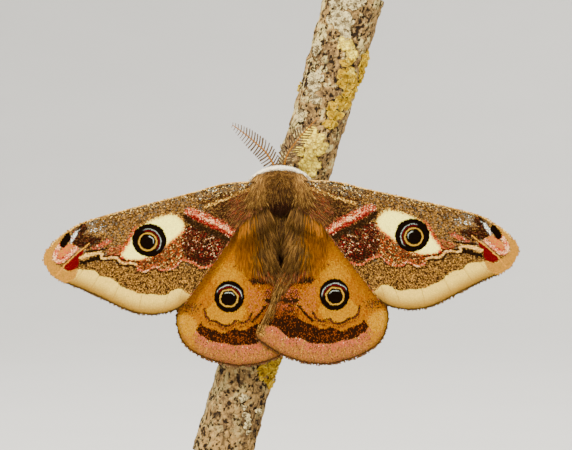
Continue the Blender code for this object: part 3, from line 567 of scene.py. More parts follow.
MARGIN_VEINS = rows(
    2, 14.3, -6.9, 14.9, -8.6, 17.6, -6.8, 17.95, -8.4, 20.5, -5.6, 21.4, -7.5, 23, -4.3, 24.1, -6,
    25.1, -3.6, 26.5, -5.5, 12.5, -6.3, 12.9, -7.9,
).reshape(-1, 2, 2)
COSTAL_STRIP = rows(
    2, 3, 8, 3.4, 6.7, 5.4, 5.9, 7.5, 5.3, 9.5, 4.9, 11.5, 4.9, 13.5, 4.6, 15.5, 4.1, 18, 3.7, 20.5, 3.1,
    22, 2.9, 20, 5, 10, 7.5,
)
PALE_STREAK = rows(2, 3.5, 6.35, 5, 5.75, 6.8, 5, 7.6, 4.75, 8.4, 4.4, 9.4, 4.15)
RUSTY_BASE = rows(2, 2.5, 6.6, 4.2, 5.9, 5.6, 5.3, 6.4, 4.4, 6.2, 2.6, 5.6, 1.2, 4.6, 2, 3.4, 3.6)

# Hindwing marks
HIND_GOLD = rows(
    2, 4.6, -9.2, 5, -8, 8.6, -8, 9.5, -8.8, 9.4, -9.8, 8.8, -10.3, 8.2, -10.4, 7.6, -10.8, 6.9, -10.95,
    6.3, -10.7, 5.8, -10.3, 5.2, -10.4,
)
HIND_SCALLOP = rows(
    2, 3.8, -9.4, 4.2, -10.1, 4.7, -10.55, 5.1, -10.65, 5.6, -10.35, 5.95, -10.3, 6.4, -10.75, 7, -10.95,
    7.7, -10.8, 8.1, -10.5, 8.6, -10.35, 9.1, -10.25, 9.5, -9.8, 9.75, -8.8,
)
HIND_BAND = rows(
    2, -2.9, -10.6, -1.6, -10.1, 0, -9.8, 1.5, -9.7, 2.4, -10.4, 3.2, -10.8, 3.9, -11, 4.6, -11.5,
    5.4, -11.6, 5.95, -11.25, 6.5, -11.5, 7.2, -11.85, 7.9, -11.8, 8.5, -11.4, 9.4, -11.2,
    10.05, -10.85, 10.15, -10.35, 10.5, -10.85, 10.85, -11.45, 10.5, -12, 9.9, -12.3, 9.2, -12.8,
    8.3, -13.05, 7.2, -13.1, 6, -13.5, 5.2, -13.4, 4.2, -13.4, 3.3, -13.25, 2.6, -12.8, 1.8, -12.6,
    0.8, -12.6, 0.3, -12.2, -0.2, -11.6, -0.8, -11.2, -1.6, -11, -2.4, -11,
)
HIND_HEM = rows(
    2, -3.8, -11, -2.4, -11, -1.6, -11, -0.8, -11.2, -0.2, -11.6, 0.3, -12.2, 0.8, -12.6, 1.8, -12.6,
    2.6, -12.8, 3.3, -13.25, 4.2, -13.4, 5.2, -13.4, 6, -13.5, 7.2, -13.1, 8.3, -13.05, 9.2, -12.8,
    9.9, -12.3, 10.5, -12, 10.9, -11.5, 11.8, -11.9, 13, -11.2, 14.5, -11, 12, -17, 2, -17, -4.5, -13.5,
)
HIND_HEM_INNER = HIND_HEM[1:-6]
HIND_CORNER = rows(
    2, 10.7, -10.4, 11.4, -9.8, 12.6, -9.3, 13.4, -9.6, 13.4, -11, 12.6, -11.9, 11.7, -12.2, 11.1, -11.7,
)
HIND_PANEL = rows(2, 2.2, -8, 2.6, -7, 3.1, -6.3, 4.2, -6, 4.3, -9.3, 3.4, -9.7, 2.6, -8.9)
HIND_INNER_LINE = rows(2, 2, -8.5, 2.6, -9.3, 3.2, -9.9, 3.8, -10.5)
HIND_DOTTED_VEIN = rows(2, 3, -5.6, 2.3, -7, 1.9, -8.3, 1.3, -10, 0.9, -11.5)
HIND_HEM_VEINS = rows(
    2, 5.9, -13.4, 5.9, -14.9, 9.2, -12.8, 9.8, -14.2, 2.7, -12.9, 2.2, -14.9, 0.3, -12.4, -0.3, -14,
).reshape(-1, 2, 2)
FORE_EYESPOT = {"centre": (16.6, 0.0), "half": (2.2, 2.08), "inner": (16.8, -0.2), "toward": (-0.82, 0.57)}
HIND_EYESPOT = {"centre": (6.63, -7.3), "half": (1.9, 2.0), "inner": (6.7, -7.5), "toward": (-0.2, 0.98)}


def paint_forewing(place, wing, seed):
    """The forewing's colour at each scale."""
    u, z = place.T
    coat = Coat(place, seed, "soot 2 umber 2 brown 4 tan 6 straw 2 blue_grey 2")
    submargin = smoothstep((-2.6 - z + 0.08 * (u - 18)) / 0.8)
    coat.lay(submargin, "soot 4 umber 3 brown 3 tan 6 straw 3.6")
    coat.lay(smoothstep((11.5 - u) / 4) * (1 - submargin), "soot 4 umber 4 brown 3 tan 2 rust_brown 1")
    strip = area(place, COSTAL_STRIP, 0.5)
    coat.lay(strip * smoothstep((15.0 - u) / 8), "soot 4 umber 3 blue_grey 4 blue_white 0.3 tan 5 pale 1")
    coat.lay(strip * smoothstep((u - 9) / 8), "soot 1 umber 2 blue_grey 2 brown 4 tan 5 pale 1")
    coat.fill(RUSTY_BASE, 0.8, "rust_brown 5 rust 1 brown 4 umber 2 tan 2", 0.8)
    coat.stroke(PALE_STREAK, 0.35, 0.3, "straw 4 pale 2 tan 2", 0.8)
    coat.fill(RUST_AREA, 0.5, "soot 4 umber 3 rust_brown 5 rust 2.5 tan 3 pale 1")
    coat.fill(WINE_AREA, 0.6, "soot 9 wine 6 red 1.8 rose_white 0.6 rust_brown 4 tan 1.8")
    coat.dab((8.4, -1.3), (1.0, 1.2), 0.8, "soot 7 wine 3 rose_white 1 red 2 tan 1", 0.7)
    coat.fill(WINE_DARK, 0.5, "soot 6 wine 2 red 1 umber 1", 0.8)
    coat.fill(BASAL_SHADE, 0.6, "soot 6 umber 3 brown 1")
    outer_end = smoothstep((u - 9.5) / 1.8)
    coat.stroke(BASAL_CORE, 1.15, 0.35, "red 3 pink 3 rose_white 1 rust_brown 2 tan 1")
    coat.stroke(BASAL_CORE, 0.32, 0.35, "rose_white 4 pink 2 straw 1", 0.8 - 0.4 * outer_end)
    coat.stroke(BASAL_RED, 0.36, 0.2, "red 5 crimson 3 soot 1 pink 1", 0.85)
    cream = depth_in(place, CREAM_PATCH)
    edge = smoothstep(0.5 + (0.12 - np.abs(cream)) / 0.3)
    coat.lay(smoothstep(0.5 + cream / 0.2), "cream 1")
    coat.wash(smoothstep((0.5 - cream) / 0.6) * (cream > 0.02) * 0.6, "honey")
    outer_side = smoothstep((u - 17.5) / 1.5)
    coat.lay(edge * 0.7 * (1 - outer_side) * (z > 1.5), "tan 3 rust_brown 2 honey 2")
    coat.lay(edge * 0.75 * (1 - outer_side) * (z < 1.5), "pink 2 rust 1 honey 3")
    coat.lay(smoothstep(0.5 + (0.25 - np.abs(cream + 0.1)) / 0.4) * 0.7 * outer_side, "pink 3 rust 2 red 1")
    coat.fill(PINK_SPOT, 0.5, "pink 2 red 1 rust_brown 3 tan 1", 0.6)
    coat.stroke(SCALLOPS, 0.25, 0.15, "pink 3 rust 2 tan 2 rose_white 1.5", 0.85)
    coat.stroke(SCALLOPS - (0, 0.3), 0.22, 0.18, "soot 1 umber 1", 0.6)
    coat.stroke(ZIGZAG_ABOVE, 0.26, 0.12, "soot 3 umber 2 red 1")
    coat.stroke(ZIGZAG_SHADE, 0.24, 0.12, "soot 3 umber 1")
    coat.stroke(ZIGZAG, 0.26, 0.1, "pale 2 straw 4 rose_white 1")
    coat.fill(GREY_SPECKS, 0.9, "blue_grey 4 blue_white 0.7 soot 1 tan 2", 0.4)
    coat.fill(MAROON, 0.5, "soot 4 wine 3 umber 2 rust_brown 1", 0.85)
    coat.fill(PINK_STREAK, 0.4, "pink 3 red 1 rust_brown 2 tan 1 rose_white 0.5", 0.75)
    coat.stroke(((21.9, -0.95), (23.2, -1.2), (24.6, -1.25)), 0.25, 0.1, "soot 3 umber 1")
    coat.fill(CREAM_WEDGE, 0.15, "pale 2 straw 2")
    coat.fill(BLACK_STREAK, 0.2, "soot 5 ink 2")
    coat.fill(APEX_DARK, 0.4, "soot 4 ink 1 rust_brown 1")
    paint_margin(coat, wing)
    coat.fill(APEX_TAN, 0.25, "apex_tan 4 margin_tan 2")
    coat.fill(APEX_CORE, 0.2, "apex_tan 3 pink 2")
    coat.stroke(APEX_CORE[4:], 0.2, 0.1, "red 2 pink 2", 0.7)
    coat.stroke(APEX_LOOP, 0.52, 0.15, "rose_white 3 pink 2 hem_pink 3")
    coat.fill(CRIMSON_MARK, 0.12, "crimson 5 red 1")
    coat.fill(APEX_STREAK, 0.2, "blue_white 3 blue_grey 2 pink 1")
    coat.fill(APEX_SPOT, 0.1, "ink 1")
    coat.stroke(APEX_VEIN, 0.16, 0.08, "straw 1 honey 1")
    leading = distance(place, wing.costa.line)
    coat.lay(smoothstep((0.22 - leading) / 0.1) * (u > 4), "apex_tan 2 tan 2 pale 2")
    coat.lay(smoothstep((0.2 - distance(place, wing.inner.line)) / 0.12) * 0.6,
             "rust_brown 2 tan 2 hem_pink 1")
    return coat.varied(0.1)


def paint_margin(coat, wing):
    """The pale band along a forewing's outer edge: cream inside, tan outside and a fine dark rim."""
    rim = distance(coat.place, wing.outer.line)
    band = area(coat.place, np.vstack([MARGIN_INNER, ((31.0, -2.0), (31.0, -10.0), (11.0, -10.0))]), 0.1)
    coat.lay(band, "margin_cream 1")
    coat.wash(band * smoothstep((MARGIN_WIDTH * 0.8 - rim) / (MARGIN_WIDTH * 0.75)), "margin_tan")
    coat.wash(band * smoothstep((0.5 - rim) / 0.6) * 0.75, "margin_edge")
    for vein in MARGIN_VEINS:
        coat.wash(band * line(coat.place, vein, 0.1, 0.1) * 0.6, "margin_tan")
    coat.wash(band * smoothstep((0.12 - rim) / 0.06) * 0.8, "soot")


def paint_hindwing(place, wing, seed):
    """The hindwing's colour at each scale."""
    u, z = place.T
    coat = Coat(place, seed, "orange 6 orange_fleck 1.3 gold 3")
    coat.dab((6.6, -4.6), (1.9, 1.5), 0.9, "gold 4 yellow 2", 0.8)
    coat.dab((6.55, -4.35), (0.9, 0.6), 0.8, "yellow 3 gold 2", 0.7)
    coat.fill(HIND_GOLD, 0.3, "gold 3 yellow 3", 0.95)
    coat.dab((7.1, -10.2), (1.1, 0.5), 0.8, "yellow 1 gold 1", 0.6)
    coat.lay(smoothstep((4.6 - u) / 1.6) * 0.85, "orange 3 orange_fleck 3 umber 1")
    coat.lay(smoothstep((3.6 - u) / 1.5) * smoothstep((z + 6.2) / 0.8) * 0.95,
             "umber 3 soot 2 orange_fleck 2")
    coat.dab((2.9, -5.3), (1.3, 0.5), 0.7, "soot 4 umber 3 rust_brown 1", 0.9)
    coat.dab((2.0, -4.6), (2.0, 0.5), 0.8, "rust 1 rust_brown 2", 0.5)
    coat.lay(smoothstep((2.4 - u) / 1.2) * smoothstep((-6.0 - z) / 0.8) * 0.9,
             "umber 3 orange_fleck 3 soot 2")
    coat.dab((0.9, -6.8), (1.1, 0.7), 0.6, "orange 2 orange_fleck 2 hem_pink 1", 0.5)
    coat.dab((0.3, -7.6), (2.2, 1.6), 0.6, "umber 3 rust_brown 2 soot 1 hem_pink 1", 0.5)
    coat.dab((-0.2, -8.6), (1.1, 0.55), 0.6, "orange_fleck 3 hem_pink 1 rust_brown 1", 0.6)
    coat.dab((1.2, -7.85), (1.3, 0.3), 0.7, "soot 3 umber 1", 0.8)
    coat.fill(HIND_PANEL, 0.3, "orange 5 hem_pink 1 hem_orange 3 orange_fleck 1", 0.9)
    coat.stroke(HIND_SCALLOP, 0.32, 0.14, "umber 4 soot 3 rust_brown 3", 0.95)
    coat.stroke(HIND_SCALLOP - (0, 0.42), 0.24, 0.14, "umber 1 rust_brown 2", 0.6)
    coat.stroke(((4.9, -4.1), (5.3, -3.7), (5.9, -3.45)), 0.2, 0.2, "rust_brown 1", 0.5)
    coat.stroke(HIND_INNER_LINE, 0.3, 0.2, "soot 3 umber 1")
    coat.dab((11.6, -8.6), (1.2, 0.7), 0.9, "brown 3 umber 1 rust_brown 2 tan 1", 0.6)
    coat.fill(HIND_BAND, 0.15, "band_brown 9 soot 4 orange_fleck 1.5")
    coat.dab((6.3, -12.6), (1.9, 0.45), 0.7, "orange_fleck 2 band_brown 2", 0.4)
    rim = distance(place, wing.outer.line)
    hem = area(place, HIND_HEM, 0.12)
    coat.lay(hem, "hem_orange 6 hem_pink 2 tan 3 straw 0.6 rust_brown 1.2")
    inner = distance(place, HIND_HEM_INNER)
    coat.lay(hem * smoothstep((1.25 - inner) / 0.9),
             "hem_pink 6 pink 1 rose_white 0.15 hem_orange 2 tan 1.5 rust_brown 1.3")
    coat.lay(hem * smoothstep((u - 10.2) / 1.4), "yellow 1 gold 2 hem_orange 2")
    coat.fill(HIND_CORNER, 0.5, "yellow 6 straw 1 gold 2")
    for vein in HIND_HEM_VEINS:
        coat.stroke(vein, 0.16, 0.12, "straw 1 tan 1", 0.8)
    coat.dab((-2.7, -11.6), (0.6, 0.8), 0.5, "tan 2 straw 2 brown 1")
    coat.wash(smoothstep((0.75 - rim) / 0.7) * 0.6, "hem_edge")
    coat.wash(smoothstep((0.12 - rim) / 0.06) * 0.8, "soot")
    coat.stroke(HIND_DOTTED_VEIN, 0.1, 0.08, "straw 2 tan 1", 0.18)
    leading = distance(place, wing.costa.line)
    coat.lay(smoothstep((0.25 - leading) / 0.2) * smoothstep((z + 8.0) / 2) * 0.6, "tan 2 hem_pink 1")
    return coat.varied(0.1)


# Wings


def fore_level(u, z, side):
    """Depth of a forewing's middle surface, in front of the hindwing that it covers."""
    inner_edge = FORE_INNER[0][1] - 1.36 * (u - FORE_INNER[0][0])
    level = HIND_LEVEL + WING_SLOPE * u - FORE_OVER_HIND + FORE_DROP * np.maximum(0.0, z - inner_edge)
    off_root = smoothstep(np.hypot(u - 2.2, z - FORE_ROOT[1][1]) / ROOT_BLEND)
    return FORE_ROOT_LEVEL * (1 - off_root) + level * off_root


def hind_level(u, z, side):
    """Depth of a hindwing's middle surface. The right one crosses over the left one behind the body."""
    level = HIND_LEVEL + WING_SLOPE * np.sqrt(u * u + 0.5)
    crossing = HIND_CROSSING * (1 - smoothstep((u - CROSSING_INSIDE) / (CROSSING_OUTSIDE - CROSSING_INSIDE)))
    off_root = smoothstep(np.hypot(u - HIND_ROOT[1][0], z - HIND_ROOT[1][1]) / ROOT_BLEND)
    return HIND_ROOT_LEVEL * (1 - off_root) + (level - side * crossing) * off_root


class Wing:
    """The sheet of a wing and its mirrored twin: its outline, its depth and the way out from its root."""

    def __init__(self, name, shape, veins, level, fan, paint, eyespot):
        root, costa, outer, inner = shape
        self.name = name
        self.root = Curve(root)
        self.costa = Curve((root[0], *costa))
        self.outer = Curve(outer)
        self.inner = Curve((root[-1], *inner))
        self.veins = veins
        self.level = level
        self.fan = np.array(fan)
        self.paint = paint
        self.eyespot = eyespot
        shares = np.linspace(0, 1, 60)
        self.outline = np.vstack(
                                 [self.costa.at(shares), self.outer.at(shares), self.inner.at(shares[::-1])])

    def place(self, s, t):
        """(u, z) at shares from the leading to the inner edge and from the root to the outer edge."""
        s = s[..., None]
        t = t[..., None]
        ends = (1 - s) * (1 - t) * self.root.at(0.0) + s * (1 - t) * self.root.at(1.0)
        ends = ends + (1 - s) * t * self.outer.at(0.0) + s * t * self.outer.at(1.0)
        edges = (1 - s) * self.costa.at(t[..., 0]) + s * self.inner.at(t[..., 0])
        return edges + (1 - t) * self.root.at(s[..., 0]) + t * self.outer.at(s[..., 0]) - ends

    def points(self, place, side, lift=0.0):
        """Points of the sheet at places, a lift towards the viewer off its middle surface."""
        u, z = np.moveaxis(place, -1, 0)
        return np.stack([u * side, self.level(u, z, side) - lift, z], -1)

    def normals(self, place, side):
        """The way off the sheet towards the viewer."""
        u, z = place.T
        step = 0.05
        rise = self.level(u, z, side)
        across = (self.level(u + step, z, side) - rise) / step * side
        up = (self.level(u, z + step, side) - rise) / step
        return unit(np.stack([across, -np.ones(len(u)), up], -1))

    def lies(self, place, side):
        """The way that scales lie: out from the root."""
        out = unit(place - self.fan)
        return np.stack([out[:, 0] * side, np.zeros(len(out)), out[:, 1]], -1)


FOREWING = Wing("forewing", (FORE_ROOT, FORE_COSTA, FORE_OUTER, FORE_INNER), FORE_VEINS, fore_level,
                FORE_FAN, paint_forewing, FORE_EYESPOT)
HINDWING = Wing("hindwing", (HIND_ROOT, HIND_COSTA, HIND_OUTER, HIND_INNER), HIND_VEINS, hind_level,
                HIND_FAN, paint_hindwing, HIND_EYESPOT)
SIDES = ((-1, "left"), (1, "right"))


def side_name(side):
    return dict(SIDES)[side]


def membrane(wing, side, steps=62, columns=56):
    """A wing's thin sheet, thickest along its veins, as one closed surface."""
    t, s = np.meshgrid(np.linspace(0, 1, steps + 1), np.linspace(0, 1, columns + 1), indexing="ij")
    place = wing.place(s, t)
    section = np.linalg.norm(place[:, 0] - place[:, -1], axis=1)[:, None]
    relief = np.zeros(s.shape)
    for share, start in wing.veins:
        off = np.abs(s - share) * section
        relief += VEIN_RISE * np.exp(-((off / VEIN_HALF_WIDTH) ** 2)) * smoothstep((t - start) / 0.1)
    rim = np.minimum(np.minimum(s, 1 - s) * section, (1 - t) * 20)
    half = MEMBRANE / 2 * (0.35 + 0.65 * smoothstep(rim / 0.4))
    front = wing.points(place, side, half + relief).reshape(-1, 3)
    back = wing.points(place, side, -half - 0.6 * relief).reshape(-1, 3)
    wide = columns + 1
    a = (np.arange(steps)[:, None] * wide + np.arange(columns)[None]).ravel()
    quads = np.stack([a, a + 1, a + wide + 1, a + wide], -1)
    ring = [*range(wide), *range(2 * wide - 1, (steps + 1) * wide, wide)]
    ring += [*range((steps + 1) * wide - 2, steps * wide - 1, -1), *range((steps - 1) * wide, 0, -wide)]
    a = np.array(ring)
    b = np.roll(a, -1)
    total = len(front)
    rim_faces = np.stack([a, b, b + total, a + total], -1)
    mesh = mesh_of(f"{wing.name}_membrane_{side_name(side)}", np.vstack([front, back]),
                   [quads, quads[:, ::-1] + total, rim_faces], outward=True)
    flat = place.reshape(-1, 2)
    paint = wing.paint(flat, wing, 11)
    write(mesh, "paint", np.vstack([paint, underside(paint)]))
    chance = np.random.default_rng(5).random(len(flat))
    write(mesh, "place", np.vstack([np.column_stack([flat, chance])] * 2))
    return mesh


def underside(paint):
    """The same colours paler and greyer, as on the wings' other side."""
    grey = paint.mean(axis=1, keepdims=True)
    return 0.55 * paint + 0.25 * grey + 0.2 * tint("straw") * (0.3 + grey)


def lattice(wing, pitch, chance, inset=0.06):
    """Jittered places all over a wing, about a pitch apart."""
    low = wing.outline.min(0)
    high = wing.outline.max(0)
    places = []
    for k, z in enumerate(np.arange(low[1], high[1], pitch * 0.866)):
        u = np.arange(low[0] + pitch * 0.5 * (k % 2), high[0], pitch)
        places.append(np.column_stack([u, np.full(len(u), z)]))
    places = np.vstack(places)
    places += chance.uniform(-0.42, 0.42, places.shape) * pitch
    return places[depth_in(places, wing.outline) > inset]


def wing_scales(wing, side):
    """The scales of a wing, on both of its faces and along its outer edge, as one coat."""
    chance = np.random.default_rng(31)
    front = lattice(wing, size("scale_pitch"), chance)
    fringe = wing.outer.at(chance.random(int(wing.outer.length / 0.03)))
    centre = wing.outline.mean(0)
    fringe = fringe + unit(centre - fringe) * chance.uniform(0.02, 0.3, (len(fringe), 1))
    under = lattice(wing, size("scale_pitch") * 1.9, chance)
    place = np.vstack([front, fringe, under])
    faces_back = np.arange(len(place)) >= len(front) + len(fringe)
    is_fringe = (np.arange(len(place)) >= len(front)) & ~faces_back
    longer = np.where(faces_back, 1.6, np.where(is_fringe, 0.55, 1))
    length = size("scale_length") * chance.uniform(0.8, 1.2, len(place)) * longer
    width = size("scale_width") * chance.uniform(0.8, 1.2, len(place)) * np.where(faces_back, 1.9, 1)
    normals = wing.normals(place, side)
    normals[faces_back] *= -1
    lies = wing.lies(place, side)
    outward = unit(place - centre)
    lies[is_fringe] = np.stack([outward[:, 0] * side, 0 * outward[:, 0], outward[:, 1]], -1)[is_fringe]
    lies = unit(lies - normals * np.sum(lies * normals, axis=1, keepdims=True))
    across = np.cross(lies, normals)
    lies = unit(lies + across * chance.normal(0, 0.12, (len(place), 1)))
    across = np.cross(lies, normals)
    lift = np.where(is_fringe, 0.02, MEMBRANE / 2)[:, None]
    roots = wing.points(place, side) + normals * (lift - 0.03)
    rise = chance.uniform(0.05, 0.11, (len(place), 1))
    long = length[:, None]
    wide = width[:, None] / 2
    middle = roots + lies * long * 0.5 + normals * (0.035 + rise * 0.95)
    tip = roots + lies * long + normals * (0.03 + rise * 0.8)
    points = np.stack([roots, middle, tip - across * wide, tip + across * wide], 1).reshape(-1, 3)
    first = np.arange(len(place))[:, None, None] * 4
    triangles = first + np.array([[[0, 1, 2], [0, 3, 1], [1, 3, 2], [0, 2, 3]]])
    mesh = mesh_of(f"{wing.name}_scales_{side_name(side)}", points, [triangles.reshape(-1, 3)])
    flat_lies = np.stack([lies[:, 0] * side, lies[:, 2]], -1)
    seen = place + flat_lies * long * 0.6
    paint = wing.paint(seen, wing, 17)
    paint[faces_back] = underside(paint[faces_back])
    write(mesh, "paint", np.repeat(paint, 4, axis=0))
    true_place = np.stack([points[:, 0] * side, points[:, 2]], -1)
    write(mesh, "place", np.column_stack([true_place, np.repeat(chance.random(len(place)), 4)]))
    low = wing.outline.min(0) - 0.5
    high = wing.outline.max(0) + 0.5
    share = (place - low) / (high - low)
    base = np.column_stack([share[:, 1] * 0.49 + 0.5 * faces_back, share[:, 0]])
    patch = np.array(((0.0, -0.0015), (0.0, 0.0), (-0.0012, 0.0015), (0.0012, 0.0015)))
    write_bake_map(mesh, (base[:, None] + patch[None]).reshape(-1, 2))
    return mesh


# Hair

HAIR_THICK = 0.06
HAIR_SINK = 0.15
MAP_STEP = 0.0012


def grow(roots, normals, lies, length, width, rise, fall, sway, parts):
    """Tapered three-sided hairs, all at once: points, faces, and each point's share of its hair's length."""
    normals = unit(normals)
    lies = unit(lies - normals * np.sum(lies * normals, axis=1, keepdims=True))
    across = np.cross(lies, normals)
    length, rise, fall, sway = (np.reshape(value, (-1, 1)) for value in (length, rise, fall, sway))
    point = roots - normals * HAIR_SINK
    rings = []
    for k in range(parts):
        share = k / parts
        angle = np.radians(rise + (fall - rise) * share)
        swing = np.radians(sway * share)
        heading = lies * np.cos(swing) + across * np.sin(swing)
        sideways = across * np.cos(swing) - lies * np.sin(swing)
        along = heading * np.cos(angle) + normals * np.sin(angle)
        over = np.cross(sideways, along)
        wide = width / 2 * (0.8 + 0.2 * math.sin(math.pi * min(1.0, share * 1.6))) * (1 - 0.4 * share)
        deep = HAIR_THICK * (1 - 0.4 * share)
        low = point - over * deep * 0.3
        rings += [low - sideways * wide, point + over * deep * 0.7, low + sideways * wide]
        point = point + along * (length + HAIR_SINK) / parts
    points = np.stack([*rings, point], 1).reshape(-1, 3)
    corners = [(3 * k + j, 3 * k + (j + 1) % 3) for k in range(parts) for j in range(3)]
    quads = np.array([(a, b, b + 3, a + 3) for a, b in corners[:-3]])
    triangles = np.array([(a, b, 3 * parts) for a, b in corners[-3:]] + [(2, 1, 0)])
    first = np.arange(len(roots))[:, None, None] * (3 * parts + 1)
    faces = [(first + triangles).reshape(-1, 3), (first + quads).reshape(-1, 4)]
    shares = np.append(np.repeat(np.arange(parts) / parts, 3), 1.0)
    return points, faces, np.tile(shares, len(roots))


class Fur:
    """Hairs gathered from several patches into one coat."""

    def __init__(self, name, seed):
        self.name = name
        self.chance = np.random.default_rng(seed)
        self.shapes = []
        self.paints = []
        self.maps = []

    def add(self, roots, normals, lies, colours, flat, length, rise, fall, sway=0.0, scale=1.0, steep=0.0,
            wide=1.0, parts=3, shade=0.5):
        """Grows hairs, with length, rise and fall drawn from ranges and a sway to both sides.

        Scale multiplies their length and steep adds to their rise. Their roots are darker by the shade, which
        is painted shade under the rest of the coat, and flat is their place on the map.
        """
        count = len(roots)
        long = self.chance.uniform(*length, count) * scale
        rises = self.chance.uniform(*rise, count) + steep
        falls = self.chance.uniform(*fall, count)
        sways = self.chance.normal(0, sway, count) if sway else 0.0
        width = size("hair_width") * wide
        points, faces, shares = grow(roots, normals, lies, long, width, rises, falls, sways, parts)
        # Painted shade: each hair darker towards its root, under the rest of the coat
        tone = (1 - shade) + shade * smoothstep(shares * 1.6)
        self.shapes.append((points, faces))
        self.paints.append(np.repeat(colours, 3 * parts + 1, axis=0) * tone[:, None])
        rise_on_map = np.repeat(np.arange(parts) / parts, 3) * 2.5 * MAP_STEP
        patch = np.column_stack([np.tile((-MAP_STEP, 0.0, MAP_STEP), parts), rise_on_map])
        patch = np.vstack([patch, (0.0, 2.5 * MAP_STEP)])
        self.maps.append((flat[:, None] + patch[None]).reshape(-1, 2))

    def core(self, shape, colour):
        """A solid that hairs stand on."""
        self.shapes.append(shape)
        self.paints.append(np.tile(tint(colour), (len(shape[0]), 1)))
        self.maps.append(np.tile((0.99, 0.99), (len(shape[0]), 1)))

    def mesh(self):
        """The coat as one mesh."""
        points, faces = joined(self.shapes)
        mesh = mesh_of(self.name, points, faces)
        write(mesh, "paint", np.vstack(self.paints))
        write_bake_map(mesh, np.vstack(self.maps))
        return mesh


TRUNK_LINE = Curve(TRUNK).line


def trunk_at(around, z):
    """Points and outward normals of the trunk's skin, at angles from the middle of its back and heights."""
    def section(height):
        return [np.interp(height, TRUNK_LINE[:, 0], TRUNK_LINE[:, k]) for k in (1, 2, 3)]

    def ring(height):
        middle, wide, deep = section(height)
        return np.stack([wide * np.sin(around), middle - deep * np.cos(around), height], -1)

    _, wide, deep = section(z)
    along = ring(z + 0.05) - ring(z - 0.05)
    side = np.stack([wide * np.cos(around), deep * np.sin(around), 0 * z], -1)
    return ring(z), unit(np.cross(side, along))


def trunk_map(around, z):
    """The place on the coat's map of a root on the trunk."""
    return np.column_stack([np.mod(around / (2 * math.pi) + 0.5, 1) * 0.96 + 0.01, (z + 9) / 20])


def down(sideways):
    """Ways that run towards the tail, bent sideways."""
    return np.stack([sideways, 0 * sideways, -np.ones(len(sideways))], -1)


def branch_axis(z):
    """The branch's middle line in the moth's frame, at a height."""
    return np.array((BRANCH_OFFSET + math.tan(BRANCH_LEAN + MOTH_TURN) * z, BRANCH_BEHIND_MOTH, z))


def round_branch(z, angle, off):
    """A point round the branch, at an angle from its front and a distance from its middle."""
    turn = math.radians(angle)
    return branch_axis(z) + (off * math.sin(turn), -off * math.cos(turn), 0)


def leg_path(pair, side):
    """A leg's middle line from the chest round the side of the branch."""
    grip = LEG_GRIPS[pair][side > 0]
    around = math.pi - HIP_ANGLE * side
    share = (LEG_HIPS[pair] - THORAX_CENTRE[2]) / THORAX_HALF[2]
    reach = math.sqrt(1 - share * share)
    centre = np.array(THORAX_CENTRE)
    half = np.array(THORAX_HALF)
    hip = centre + half * (reach * math.sin(around), -reach * math.cos(around), share)
    normal = unit((hip - centre) / half**2)
    knee = round_branch((LEG_HIPS[pair] + grip) / 2 + 0.2, KNEE_ANGLES[side > 0], LEG_HOLD + KNEE_REACH)
    thigh = hip + normal * (GAP + 0.5)
    wrist = round_branch(grip, 82 * side, LEG_HOLD + 0.05)
    path = [hip - normal * 0.9, hip + normal * (GAP + 0.06), thigh]
    path += [(thigh + knee) / 2 + (0.1 * side, -0.05, 0), knee,
             (knee + wrist) / 2 + (0.14 * side, 0, 0), wrist]
    return [*path, *(round_branch(grip, angle * side, LEG_HOLD) for angle in (97, 112, 127, 140))]


def leg_radii(share, first=0):
    """A leg's radius at shares of its length, from one of the points of its middle line on."""
    radii = Curve(list(enumerate(LEG_RADII[first:]))).line
    return np.interp(share * (len(LEG_RADII) - 1 - first), radii[:, 0], radii[:, 1])


def leg_shape(pair, side):
    """A leg with its joints, tapering to a foot of short rings."""
    shares = np.linspace(0, 1, 70)
    foot = smoothstep((shares - 0.6) / 0.1)
    radii = leg_radii(shares) * (1 + 0.14 * foot * np.cos(2 * math.pi * shares * 14))
    return tube(Curve(leg_path(pair, side)).at(shares), radii, 12, up=(0, 0, 1))


def palp_path(side):
    """A palp's middle line."""
    return Curve([(0.25 * side, 2.8, 7.9), (0.38 * side, 3.4, 8.05), (0.36 * side, 3.85, 8.4)])


def skin_mesh():
    """Trunk, head, palps and legs fused into one surface."""
    heights = np.linspace(TRUNK[0][0] + 0.02, TRUNK[-1][0] - 0.02, 70)
    sides = 40
    around = turns_of(sides)
    rings = [trunk_at(around, np.full(sides, z))[0] for z in heights]
    ends = [rings[0].mean(0), rings[-1].mean(0)]
    shapes = [(np.vstack([*rings, ends]), loft_faces(len(rings), sides)), ellipsoid(HEAD_CENTRE, HEAD_HALF)]
    for side, _ in SIDES:
        palp = palp_path(side).at(np.linspace(0, 1, 9))
        shapes.append(tube(palp, np.linspace(0.34, 0.14, 9), 12, up=(0, 0, 1)))
        shapes += [leg_shape(pair, side) for pair in LEG_HIPS]
    points, faces = joined(shapes)
    raw = placed("skin_raw", mesh_of("skin_raw", points, faces, outward=True))
    fuse = raw.modifiers.new("Fuse", "REMESH")
    fuse.mode = "VOXEL"
    fuse.voxel_size = size("skin_voxel")
    ease = raw.modifiers.new("Ease", "SMOOTH")
    ease.factor = 0.5
    ease.iterations = 3
    mesh = bpy.data.meshes.new_from_object(raw.evaluated_get(bpy.context.evaluated_depsgraph_get()))
    bpy.data.objects.remove(raw)
    mesh.name = "body_skin"
    return mesh


def paint_skin(mesh):
    """The skin under the fur: brown, pale below and on the abdomen's rings."""
    points = np.zeros(len(mesh.vertices) * 3, np.float32)
    mesh.vertices.foreach_get("co", points)
    y, z = points.reshape(-1, 3).T[1:].astype(float)
    coat = Coat(y, 3, "fur_dark 1")
    coat.wash(np.full(len(y), 0.5), "fur_brown")
    coat.wash(0.5 * smoothstep((y - 2.2) / 1.5), "fur_tan")
    segment = 0.5 + 0.5 * np.cos(2 * math.pi * (z - 3.0) / SEGMENT)
    coat.wash(0.4 * segment**3 * (z < 3.0), "fur_tan")
    write(mesh, "paint", coat.colour)


